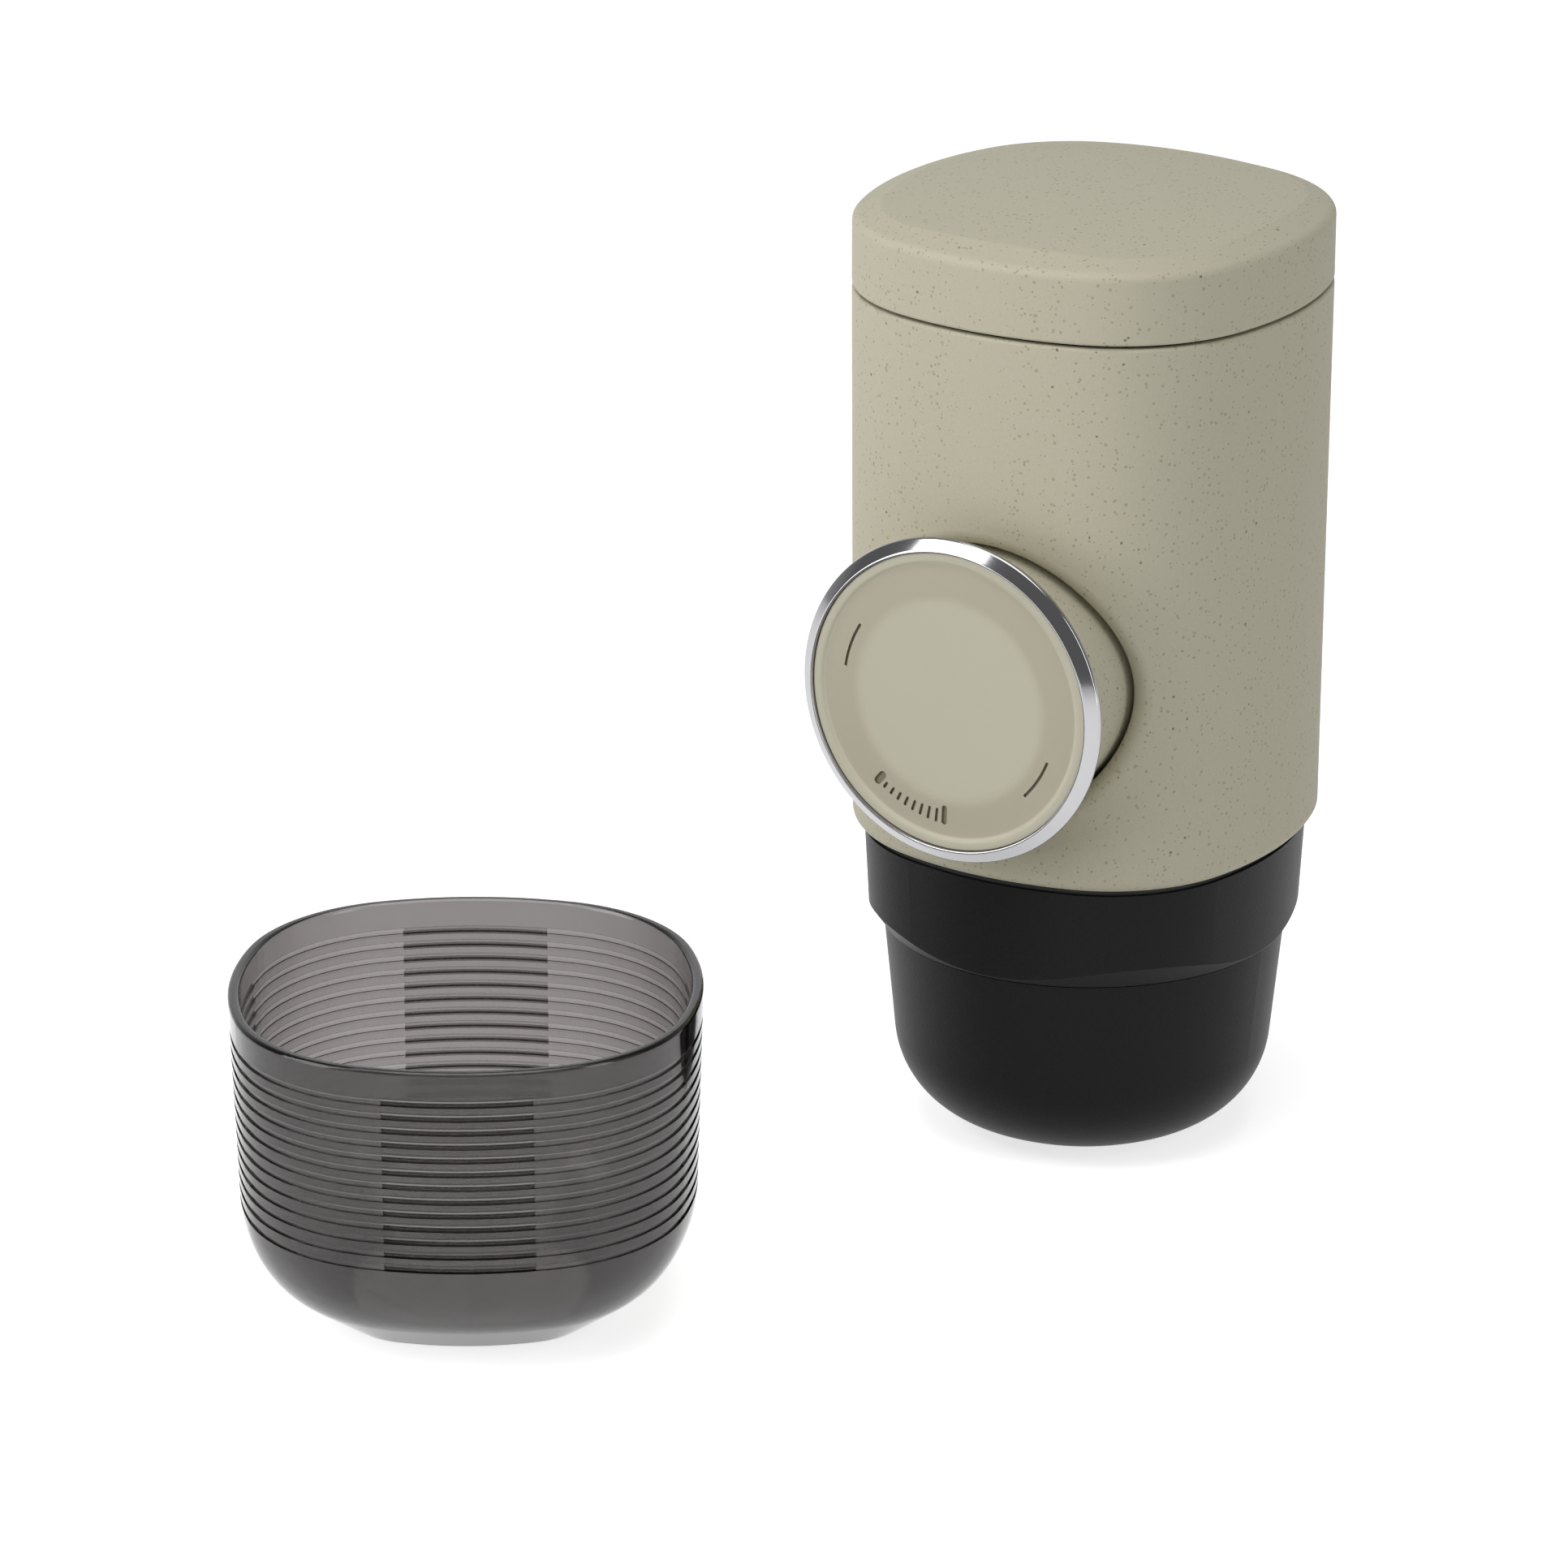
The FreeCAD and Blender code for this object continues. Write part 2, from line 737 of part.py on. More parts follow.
def make_lid_plug():
    """The plate under the lid, with the skirt that drops into the tank's neck."""
    skirt_outer = s.neck_radius - s.part_clearance
    skirt_inner = skirt_outer - s.plug_skirt_wall
    skirt_low = plate_low - s.plug_skirt_length
    plate_radius = s.lid_gasket_outer + s.plug_plate_rim
    stem_hole = s.vent_stem + s.running_gap
    blank = turned("lid_plug_blank", [
        (stem_hole, plate_low), (skirt_inner, plate_low), (skirt_inner, skirt_low),
        (skirt_outer, skirt_low), (skirt_outer, plate_low), (plate_radius, plate_low),
        (plate_radius, plate_top), (stem_hole, plate_top),
    ])
    holes = [cylinder("plug_hole", hole_radius, plate_low - over, plate_top + over, x, y)
             for x, y in around(s.lid_screw_circle)]
    vents = [cylinder("vent_hole", s.vent_hole, plate_low - over, plate_top + over, x, y)
             for x, y in around(s.vent_hole_circle)]
    return cut("lid_plug", blank, *holes, *vents)


def make_lid_gasket():
    return ring("lid_gasket", s.lid_gasket_inner, s.lid_gasket_outer, body_top, plate_low)


def make_lid_screws():
    return compound("lid_screws", [screw("lid_screw", plate_low, lid_screw_tip, False, x, y)
                                   for x, y in around(s.lid_screw_circle)])


def make_vent_valve():
    """An umbrella valve: it lets air into the tank and keeps water in."""
    low = plate_low - s.vent_thick
    top = plate_top + s.vent_thick
    return turned("vent_valve", [
        (0, low), (s.vent_radius, low), (s.vent_radius, plate_low), (s.vent_stem, plate_low),
        (s.vent_stem, plate_top), (s.vent_bead, plate_top), (s.vent_bead, top), (0, top),
    ])


def make_body_shell():
    """The outer shell with its floor, the round recess for the knob and four screw bosses."""
    outer = prism("body_outer", (body_bottom, s.body_draft), (body_top, 0))
    round_edges(outer, s.body_round, at_height(body_bottom))
    round_edges(outer, s.seam_round, at_height(body_top))
    cavity = prism("body_cavity", (floor_top, s.body_wall), (body_top + over, s.body_wall))
    step_inset = s.body_wall - s.rim_step
    step = prism("body_step", (tank_flange_low, step_inset), (body_top + over, step_inset))
    core_radius = s.recess_radius + s.recess_wall
    core = cylinder_out("recess_core", core_radius, floor_back, s.body_half)
    pocket = cylinder_out("recess_pocket", s.recess_radius, s.recess_floor_out, s.body_half + over)
    bosses, pilots = [], []
    for x, y in around(s.collar_screw_circle):
        boss_top = floor_top + s.boss_height
        bosses.append(cylinder("body_boss", s.boss_radius, body_bottom, boss_top, x, y))
        pilots.append(cylinder("body_pilot", hole_radius, body_bottom - over, screw_top + over, x, y))
    for x, rise in around(s.pump_screw_circle):
        pilots.append(cylinder_out("pump_screw_hole", hole_radius, floor_back - over,
                                   s.recess_floor_out + over, x, rise))
    hollow = cut("body_hollow", fuse("body_inside", [cavity, step]), core, *bosses)
    mouth = cylinder("body_mouth", s.collar_ledge_bore, body_bottom - over, floor_top + over)
    eye = cylinder_out("rod_eye", s.rod_radius + s.part_clearance, floor_back - over,
                       s.recess_floor_out + over)
    shell = finish("body_shell", cut("body_cut", outer, hollow, pocket, mouth, eye, *pilots))

    def on_lip(point):
        off_axis = math.hypot(point.x, point.z - knob_height.value)
        off_floor = -point.y - s.recess_floor_out.value
        return abs(off_axis - s.recess_radius.value) < TOUCH and off_floor > TOUCH

    return round_edges(shell, s.recess_lip_round, on_lip)


def make_tank_liner():
    """The open water tank, hung by its flange on the step inside the body's rim."""
    inside_inset = tank_inset + s.tank_wall
    outer = prism("tank_outer", (tank_floor, tank_inset), (flange_top, tank_inset))
    flange = prism("tank_flange", (tank_flange_low, flange_inset), (flange_top, flange_inset))
    inside = prism("tank_inside", (tank_floor + s.tank_wall, inside_inset),
                   (flange_top + over, inside_inset))
    port = cylinder("tank_port", s.inlet_seat_bore, tank_floor - over,
                    tank_floor + s.tank_wall + over, 0, s.port_in)
    return cut("tank_liner", fuse("tank_walls", [outer, flange]), inside, port)


def make_tank_neck():
    """The plate over the tank, with the round neck that takes the lid's plug."""
    plate = prism("neck_plate", (flange_top, flange_inset), (body_top, flange_inset))
    neck_low = flange_top - s.neck_depth
    skirt = cylinder("neck_skirt", s.neck_radius + s.neck_wall, neck_low, body_top)
    bore = cylinder("neck_bore", s.neck_radius, neck_low - over, body_top + over)
    return cut("tank_neck", fuse("neck_walls", [plate, skirt]), bore)


def make_tank_seal():
    seal = ring("tank_seal", s.inlet_seat_bore, s.tank_seal_radius, seal_floor, tank_floor)
    return place(seal, 0, s.port_in)


def make_tank_strainer():
    low = tank_floor + s.tank_wall
    high = low + s.strainer_thick
    disc = cylinder("strainer_disc", s.strainer_radius, low, high, 0, s.port_in)
    holes = [cylinder("strainer_hole", s.strainer_hole, low - over, high + over, x, y + s.port_in)
             for x, y in around(s.strainer_hole_circle, STRAINER_TURNS)]
    return cut("tank_strainer", disc, *holes)


def make_pump_housing():
    """The block behind the pump: it closes the cylinder and holds the inlet and outlet valves."""
    rear = s.body_half
    housing_top = tank_floor + over
    block = box("housing_block", (-s.housing_half_width, s.housing_half_width),
                (s.housing_front_in, rear), (housing_bottom, tank_floor))
    foot = box("housing_foot", (-s.housing_foot_half_width, s.housing_foot_half_width),
               (-s.housing_foot_out, rear), (floor_top, housing_foot_top))
    limit = prism("housing_limit", (floor_top - over, tank_inset), (housing_top, tank_inset))
    blank = common("housing_blank", fuse("housing_blocks", [block, foot]), limit)
    socket_end = -(s.cylinder_in + s.cylinder_gasket_thick)
    tools = [
        cylinder_out("housing_socket", cylinder_radius + s.running_gap, socket_end,
                     over - s.housing_front_in),
        cylinder("inlet_port", s.port_radius, knob_height, inlet_bottom + over, 0, s.port_in),
        cylinder("inlet_bore", s.valve_bore, inlet_bottom, housing_top, 0, s.port_in),
        cylinder("seal_pocket", s.tank_seal_radius, seal_floor, housing_top, 0, s.port_in),
        cylinder("outlet_port", s.port_radius, outlet_top - over, knob_height, 0, s.port_in),
        cylinder("outlet_bore", s.valve_bore, floor_top - over, outlet_top, 0, s.port_in),
        cylinder_out("cross_duct", s.duct_radius, -s.port_in, s.duct_radius, 0,
                     duct_height - knob_height),
        cylinder("down_duct", s.duct_radius, floor_top - over, duct_height),
    ]
    for x in housing_screw_places:
        tools.append(cylinder("housing_screw_hole", hole_radius, floor_top - over,
                              housing_foot_top + over, x, s.housing_screw_in))
    return cut("pump_housing", blank, *tools)


def make_housing_screws():
    return compound("housing_screws", [
        screw("housing_screw", flange_low + over, housing_foot_top, True, x, s.housing_screw_in)
        for x in housing_screw_places
    ])


def make_inlet_valve_seat():
    seat = ring("inlet_valve_seat", s.inlet_seat_bore, s.valve_bore, inlet_seat, seal_floor)
    return place(seat, 0, s.port_in)


def make_outlet_valve_plug():
    return cylinder("outlet_valve_plug", s.valve_bore, floor_top, outlet_plug_top, 0, s.port_in)


def make_valve_ball(label, height):
    ball = doc.addObject("Part::Sphere", label)
    bind(ball, "Radius", s.ball_radius)
    return place(ball, 0, s.port_in, height)


def make_valve_spring(label, low, ball_height):
    high = ball_height - s.ball_radius
    coil = spring(label, s.valve_spring_radius, s.valve_spring_wire, low, high, VALVE_SPRING_TURNS)
    coil.Placement = Placement(Vector(0, s.port_in.value, 0), Rotation())
    return coil


def make_pump_cylinder():
    """The pump's tube, with a flange that screws to the back of the recess and two ports."""
    blank = place_out(turned("cylinder_blank", [
        (s.bore_radius, -s.cylinder_in), (cylinder_radius, -s.cylinder_in),
        (cylinder_radius, pump_flange_back), (s.pump_flange_radius, pump_flange_back),
        (s.pump_flange_radius, floor_back), (s.bore_radius, floor_back),
    ]))
    reach = cylinder_radius + over
    ports = cylinder("cylinder_ports", s.port_radius, knob_height - reach, knob_height + reach,
                     0, s.port_in)
    pilots = [cylinder_out("flange_hole", hole_radius, pump_flange_back - over, floor_back + over, x, rise)
              for x, rise in around(s.pump_screw_circle)]
    return cut("pump_cylinder", blank, ports, *pilots)


def make_cylinder_gasket():
    end = -s.cylinder_in
    gasket = ring("cylinder_gasket", s.bore_radius, cylinder_radius, end - s.cylinder_gasket_thick, end)
    return place_out(gasket)


def make_pump_screws():
    screws = []
    for x, rise in around(s.pump_screw_circle):
        shank = cylinder_out("pump_shank", s.screw_radius, pump_flange_back + over,
                             s.recess_floor_out, x, rise)
        head = cylinder_out("pump_head", s.screw_head_radius, s.recess_floor_out,
                            s.recess_floor_out + s.screw_head_height, x, rise)
        screws.append(fuse("pump_screw", [shank, head]))
    return compound("pump_screws", screws)


def make_rod_bush():
    """The bush that guides the rod and stops the piston at the end of its stroke."""
    inner_end = piston_front + s.stroke + s.stroke_clearance
    return place_out(ring("rod_bush", rod_hole, s.bore_radius, inner_end, floor_back))


def make_piston_rod():
    rod_end = knob_plate_back - s.screw_hole_gap
    bore_end = rod_end - s.knob_screw_bite - over
    return place_out(turned("piston_rod", [
        (0, -s.piston_in), (s.stub_radius, -s.piston_in), (s.stub_radius, piston_front),
        (s.rod_radius, piston_front), (s.rod_radius, rod_end), (hole_radius, rod_end),
        (hole_radius, bore_end), (0, bore_end),
    ]))


def make_piston_head():
    groove_radius = piston_radius - s.seal_depth
    seal_high = seal_low + s.seal_width
    return place_out(turned("piston_head", [
        (s.stub_radius, -s.piston_in), (piston_radius, -s.piston_in), (piston_radius, seal_low),
        (groove_radius, seal_low), (groove_radius, seal_high), (piston_radius, seal_high),
        (piston_radius, piston_front), (s.stub_radius, piston_front),
    ]))


def make_piston_seal():
    inner, outer = piston_radius - s.seal_depth, s.bore_radius - s.running_gap
    return place_out(ring("piston_seal", inner, outer, seal_low, seal_low + s.seal_width))


def make_piston_spring():
    coil = spring("piston_spring", s.piston_spring_radius, s.piston_spring_wire,
                  s.recess_floor_out, knob_plate_back, PISTON_SPRING_TURNS)
    coil.Placement = Placement(Vector(0, 0, knob_height.value), OUTWARD)
    return coil


def make_knob_skirt():
    """The knob's cup: a skirt that fills the recess, flared under the ring, and a plate with a boss."""
    skirt_inner = s.skirt_radius - s.skirt_wall
    skirt_back = s.recess_floor_out + s.skirt_clearance
    boss_back = knob_plate_back - s.knob_boss_length
    counterbore = s.screw_head_radius + s.part_clearance
    return place_out(turned("knob_skirt", [
        (rod_hole, boss_back), (s.knob_boss_radius, boss_back), (s.knob_boss_radius, knob_plate_back),
        (skirt_inner, knob_plate_back), (skirt_inner, skirt_back), (s.skirt_radius, skirt_back),
        (s.skirt_radius, flare_back), (s.flare_radius, flare_front), (s.flare_radius, ring_back),
        (ring_inner, ring_back), (ring_inner, knob_plate_front),
        (counterbore, knob_plate_front), (counterbore, knob_screw_seat), (hole_radius, knob_screw_seat),
        (hole_radius, knob_plate_back), (rod_hole, knob_plate_back),
    ]))


def make_knob_ring():
    """The bevelled bright ring, prouder at its inner edge."""
    return place_out(turned("knob_ring", [
        (ring_inner, ring_back), (s.ring_radius, ring_back),
        (s.ring_radius, s.knob_out - s.ring_bevel), (ring_inner, s.knob_out),
    ]))


def make_knob_face():
    """The knob's face: a flat rim, a shallow groove for the marks and a dished middle."""
    front = knob_plate_front + s.knob_face_thick
    groove = front - s.knob_groove_depth
    slope = s.knob_groove_depth
    return place_out(turned("knob_face", [
        (0, knob_plate_front), (ring_inner, knob_plate_front), (ring_inner, front),
        (s.knob_groove_outer, front), (s.knob_groove_outer - slope, groove),
        (s.knob_groove_inner + slope, groove), (s.knob_groove_inner, front),
        (0, front - s.knob_dish_depth),
    ]))


def make_knob_screw():
    """The shouldered screw in the rod's end, on which the knob turns."""
    tip = knob_plate_back - s.knob_screw_bite
    shank = cylinder_out("knob_shank", s.screw_radius, tip, knob_screw_seat)
    head = cylinder_out("knob_screw_head", s.screw_head_radius, knob_screw_seat,
                        knob_screw_seat + s.screw_head_height)
    return fuse("knob_screw", [shank, head])


def make_group_head():
    """The disc between collar and body that leads water down to the capsule."""
    spigot = s.collar_ledge_bore - s.group_clearance
    pocket_top = group_bottom + s.piercing_thick
    blank = turned("group_blank", [
        (s.duct_radius, pocket_top), (s.piercing_radius, pocket_top), (s.piercing_radius, group_bottom),
        (spigot, group_bottom), (spigot, flange_low), (s.group_flange_radius, flange_low),
        (s.group_flange_radius, body_bottom), (spigot, body_bottom), (spigot, floor_top),
        (s.duct_radius, floor_top),
    ])
    holes = [cylinder("group_hole", hole_radius, flange_low - over, body_bottom + over, x, y)
             for x, y in around(s.collar_screw_circle)]
    for x in housing_screw_places:
        holes.append(cylinder("group_pilot", hole_radius, flange_low, floor_top + over,
                              x, s.housing_screw_in))
    return cut("group_head", blank, *holes)


def make_body_gasket():
    inset = s.body_gasket_inset
    blank = prism("body_gasket_blank", (collar_top, inset), (body_bottom, inset))
    bore = cylinder("body_gasket_bore", flange_bore, collar_top - over, body_bottom + over)
    return cut("body_gasket", blank, bore)


def make_collar():
    """The collar: its lower edge is turned away by a cone, so the edge rises at the corners."""
    low_inset = s.collar_inset + s.collar_draft
    blank = prism("collar_blank", (s.collar_bottom, low_inset), (collar_top, s.collar_inset))
    cone_top = s.collar_cone_radius + (collar_top - s.collar_bottom) / s.collar_cone_rise
    cone = turned("collar_cone", [
        (0, s.collar_bottom), (s.collar_cone_radius, s.collar_bottom), (cone_top, collar_top),
        (0, collar_top),
    ])
    socket = s.head_spigot_radius + s.part_clearance
    tools = [
        cylinder("collar_socket", socket, s.collar_bottom - over, collar_ledge),
        cylinder("collar_mouth", s.collar_ledge_bore, s.collar_bottom - over, collar_top + over),
        cylinder("collar_pocket", flange_bore, flange_low, collar_top + over),
    ]
    counterbore = s.screw_head_radius + s.part_clearance
    for x, y in around(s.collar_screw_circle):
        tools.append(cylinder("collar_hole", hole_radius, collar_ledge - over, flange_low + over, x, y))
        tools.append(cylinder("collar_counterbore", counterbore, collar_ledge - over, screw_seat, x, y))
    return cut("collar", common("collar_outer", blank, cone), *tools)


def make_collar_screws():
    return compound("collar_screws", [screw("collar_screw", screw_seat, screw_top, False, x, y)
                                      for x, y in around(s.collar_screw_circle)])


def make_piercing_plate():
    """The steel plate whose three spikes open the capsule."""
    low, high = group_bottom, group_bottom + s.piercing_thick
    disc = cylinder("piercing_disc", s.piercing_radius, low, high)
    spikes = []
    for x, y in around(s.spike_circle, SPIKE_TURNS):
        spike = doc.addObject("Part::Cone", "spike")
        bind(spike, "Radius1", s.spike_tip_radius)
        bind(spike, "Radius2", s.spike_radius)
        bind(spike, "Height", s.spike_length)
        spikes.append(place(spike, x, y, low - s.spike_length))
    hole = cylinder("piercing_hole", s.duct_radius, low - over, high + over)
    return cut("piercing_plate", fuse("piercing_blank", [disc, *spikes]), hole)


def make_group_gasket():
    return ring("group_gasket", s.group_gasket_inner, s.piercing_radius, holder_top, group_bottom)


def make_capsule_holder():
    """The bell that holds the capsule, nose up, with its flange on the outlet head's seat."""
    seat, flange_radius = s.holder_seat, s.holder_flange_radius
    shoulder = seat + s.holder_flange_thick
    roof = holder_top - s.holder_top_thick
    outer_mouth = s.chamber_mouth_radius + s.holder_wall
    outer_top = s.chamber_top_radius + s.holder_wall
    return turned("capsule_holder", [
        (s.chamber_mouth_radius, seat), (flange_radius, seat), (flange_radius, shoulder),
        (outer_mouth, shoulder), (outer_top, holder_top), (s.holder_hole, holder_top),
        (s.holder_hole, roof), (s.chamber_top_radius, roof),
    ])


def make_extraction_plate():
    """The perforated plate that the capsule's foil is pressed against."""
    top = plate_seat + s.plate_thick
    disc = cylinder("plate_disc", s.capsule_rim_radius - s.running_gap, plate_seat, top)
    holes = []
    for lap in range(1, PLATE_HOLE_RINGS + 1):
        count = PLATE_HOLES_PER_RING * lap
        turns = [360 * index / count for index in range(count)]
        holes += [cylinder("plate_hole", s.plate_hole, plate_seat - over, top + over, x, y)
                  for x, y in around(s.plate_hole_circle * lap, turns)]
    return cut("extraction_plate", disc, *holes)


def make_head_gasket():
    inner = head_cavity + s.part_clearance
    outer = s.head_spigot_radius - s.part_clearance
    return ring("head_gasket", inner, outer, head_spigot_height, collar_ledge)


def make_outlet_head():
    """The domed head that screws up into the collar, with its flat foot and its spout."""
    dome_top = s.collar_bottom - s.head_seam
    spigot = s.head_spigot_radius
    flange_high = s.funnel_bottom + s.nozzle_flange
    return turned("outlet_head", [
        (s.nozzle_radius, 0), (s.foot_radius, 0, s.foot_round),
        (s.dome_lower_radius, s.dome_lower_height, s.dome_round), (s.dome_radius, dome_top),
        (spigot, dome_top), (spigot, head_spigot_height), (head_cavity, head_spigot_height),
        (head_cavity, s.holder_seat), (s.capsule_rim_radius, s.holder_seat),
        (s.capsule_rim_radius, plate_seat), (s.funnel_radius, plate_seat),
        (nozzle_flange_radius, flange_high), (nozzle_flange_radius, s.funnel_bottom),
        (s.nozzle_radius, s.funnel_bottom),
    ])


def make_outlet_nozzle():
    low = as_size(s.nozzle_lift)
    high = s.funnel_bottom + s.nozzle_flange
    return turned("outlet_nozzle", [
        (s.nozzle_bore, low), (s.nozzle_radius, low), (s.nozzle_radius, s.funnel_bottom),
        (nozzle_flange_radius, s.funnel_bottom), (nozzle_flange_radius, high), (s.nozzle_bore, high),
    ])


def cup_form(label, low, base_inset, shoulder, side_inset):
    """A flat base, a slope that rounds over at the shoulder, and a nearly upright side."""
    draft = s.cup_draft * (s.cup_height - shoulder) / s.cup_height
    slope = prism(f"{label}_slope", (low, base_inset), (shoulder, draft + side_inset))
    side = prism(f"{label}_side", (shoulder, draft + side_inset), (s.cup_height, side_inset))
    form = finish(f"{label}_form", fuse(f"{label}_blank", [slope, side]))
    round_edges(form, s.cup_round - side_inset, at_height(shoulder))
    return round_edges(form, s.cup_foot_round, at_height(as_size(low)))


def cup_skin(label, outer, depth):
    """The outermost layer of the cup's side, depth thick."""
    core = prism(f"{label}_core", (0, s.cup_draft + depth), (s.cup_height, depth))
    return cut(label, outer, core)


def make_cup():
    """The ribbed cup, which stands beside the maker and caps its lower end when packed."""
    outer = cup_form("cup_outer", 0, s.cup_base_inset, s.cup_shoulder, 0)
    inner = cup_form("cup_inner", s.cup_wall, s.cup_base_inset + s.cup_wall_mitre,
                     s.cup_shoulder + s.cup_wall_mitre, s.cup_wall)
    limits = (-s.body_half, s.body_half)
    bar_limits = (-s.bar_half_width, s.bar_half_width)
    rib_high = s.cup_height - s.rib_top_margin
    slots = []
    for index in range(RIB_COUNT):
        low = rib_high - s.rib_pitch * (index + 1)
        slots.append(box("rib_slot", limits, limits, (low, low + s.rib_pitch - s.rib_width)))
    slots = fuse("cup_slots", slots)
    flats = fuse("cup_flats", [
        box("cup_flat", bar_limits, limits, (s.cup_shoulder, s.cup_height)),
        box("cup_flat", limits, bar_limits, (s.cup_shoulder, s.cup_height)),
    ])
    ribs = common("cup_ribs", cup_skin("rib_skin", outer, s.rib_depth), slots)
    bars = common("cup_bars", cup_skin("bar_skin", outer, s.bar_depth), common("bar_slots", slots, flats))
    cup = finish("cup", cut("cup_cut", outer, inner, ribs, bars))
    round_edges(cup, s.cup_lip_round, at_height(s.cup_height))
    place(cup, s.cup_x, s.cup_y, 0, Rotation(Vector(0, 0, 1), s.cup_turn.value))
    bind(cup, "Placement.Rotation.Angle", s.cup_turn)
    return cup


def build_nodes():
    """Every separate piece of the maker."""
    return [
        make_lid_shell(), make_lid_plug(), make_lid_gasket(), make_lid_screws(), make_vent_valve(),
        make_body_shell(), make_tank_liner(), make_tank_neck(), make_tank_seal(), make_tank_strainer(),
        make_pump_housing(), make_housing_screws(), make_inlet_valve_seat(), make_outlet_valve_plug(),
        make_valve_ball("inlet_valve_ball", inlet_ball_height),
        make_valve_ball("outlet_valve_ball", outlet_ball_height),
        make_valve_spring("inlet_valve_spring", inlet_bottom, inlet_ball_height),
        make_valve_spring("outlet_valve_spring", outlet_plug_top, outlet_ball_height),
        make_pump_cylinder(), make_cylinder_gasket(), make_pump_screws(), make_rod_bush(),
        make_piston_rod(), make_piston_head(), make_piston_seal(), make_piston_spring(),
        make_knob_skirt(), make_knob_ring(), make_knob_face(), make_knob_screw(),
        make_group_head(), make_body_gasket(), make_collar(), make_collar_screws(),
        make_piercing_plate(), make_group_gasket(), make_capsule_holder(), make_extraction_plate(),
        make_head_gasket(), make_outlet_head(), make_outlet_nozzle(), make_cup(),
    ]


def check(nodes):
    """Stop if any object failed or any piece is empty or broken."""
    for item in doc.Objects:
        if "Invalid" in item.State or "Error" in item.State:
            raise RuntimeError(f"{item.Label} failed: {item.State}")
    for node in nodes:
        if node.Shape.isNull() or not node.Shape.isValid() or not node.Shape.Solids:
            raise RuntimeError(f"{node.Label} has no valid solid")


def main():
    nodes = build_nodes()
    doc.recompute()
    check(nodes)
    os.makedirs("parts", exist_ok=True)
    for node in nodes:
        node.Shape.exportStep(f"parts/{node.Label}.step")
    print(f"{len(nodes)} pieces written")


main()
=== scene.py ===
# %% [markdown]
# # A handheld espresso maker and its cup
# The frame brings every solid at its real size and place, in metres: the maker stands on its domed
# outlet head at the origin, its thumb knob faces -Y, and the cup stands beside it. The mouldings
# already have their true shapes, so this lesson dresses them in their real finishes and models anew
# the few pieces whose fine relief asks for it.

# %% Load the frame
import json
import math

import bpy
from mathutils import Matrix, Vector


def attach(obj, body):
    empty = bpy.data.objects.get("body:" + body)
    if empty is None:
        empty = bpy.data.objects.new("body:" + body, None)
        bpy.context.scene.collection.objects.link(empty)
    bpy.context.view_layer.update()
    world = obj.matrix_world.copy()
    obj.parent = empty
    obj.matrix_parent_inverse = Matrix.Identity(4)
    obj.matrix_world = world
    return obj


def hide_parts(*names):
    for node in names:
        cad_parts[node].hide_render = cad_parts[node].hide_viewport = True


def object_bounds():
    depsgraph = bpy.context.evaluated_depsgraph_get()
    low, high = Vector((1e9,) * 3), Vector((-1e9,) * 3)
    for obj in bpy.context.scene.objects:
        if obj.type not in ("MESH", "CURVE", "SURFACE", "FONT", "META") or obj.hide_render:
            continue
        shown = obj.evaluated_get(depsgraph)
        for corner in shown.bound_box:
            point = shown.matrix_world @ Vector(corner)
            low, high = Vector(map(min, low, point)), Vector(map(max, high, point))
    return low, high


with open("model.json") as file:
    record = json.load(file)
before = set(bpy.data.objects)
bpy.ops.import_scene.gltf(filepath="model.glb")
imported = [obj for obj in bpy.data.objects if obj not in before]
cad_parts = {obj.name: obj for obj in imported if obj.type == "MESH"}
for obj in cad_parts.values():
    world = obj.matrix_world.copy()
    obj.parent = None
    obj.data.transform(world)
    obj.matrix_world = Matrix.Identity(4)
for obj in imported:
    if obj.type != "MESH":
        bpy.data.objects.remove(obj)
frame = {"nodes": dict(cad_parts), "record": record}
cad_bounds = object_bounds()
nodes = frame["nodes"]
lowest = tuple(round(value, 4) for value in cad_bounds[0])
print("the frame has", len(nodes), "solids; lowest corner", lowest)

# %% [markdown]
# ## The camera
# The picture is taken with a long lens from a little above, so upright edges stay almost parallel.
# The camera looks at a point between maker and cup. Its direction is given as two angles, because
# that is how a photographer would move round a table.

# %% Camera
LOOK_AT = Vector((-0.037, -0.022, 0.050))
CAMERA_AZIMUTH = math.radians(31)
CAMERA_HEIGHT_ANGLE = math.radians(20.5)
CAMERA_DISTANCE = 1.03
LENS = 165.7
FARTHEST_SEEN = 10


def seen_from(azimuth, height_angle, distance, target=LOOK_AT):
    """A place at a distance from the target, given by the two angles of its direction."""
    flat = math.cos(height_angle)
    away = Vector((math.sin(azimuth) * flat, -math.cos(azimuth) * flat, math.sin(height_angle)))
    return target + away * distance


def look_at(item, target=LOOK_AT):
    """Turn a camera or a lamp to face a point."""
    item.rotation_euler = (target - item.location).to_track_quat("-Z", "Y").to_euler()


camera = bpy.data.objects.new("camera", bpy.data.cameras.new("camera"))
camera.data.lens = LENS
camera.data.clip_end = FARTHEST_SEEN
camera.location = seen_from(CAMERA_AZIMUTH, CAMERA_HEIGHT_ANGLE, CAMERA_DISTANCE)
look_at(camera)
bpy.context.scene.collection.objects.link(camera)
bpy.context.scene.camera = camera
bpy.context.scene.view_settings.view_transform = "Standard"
print("camera at", tuple(round(value, 3) for value in camera.location))

# %% [markdown]
# ## Light
# A studio sets one wide soft box on each side of a thing like this: each lights one flat of the
# rounded-square body, and the corner between them stays a little darker, which shows its form. A
# third box hangs overhead.

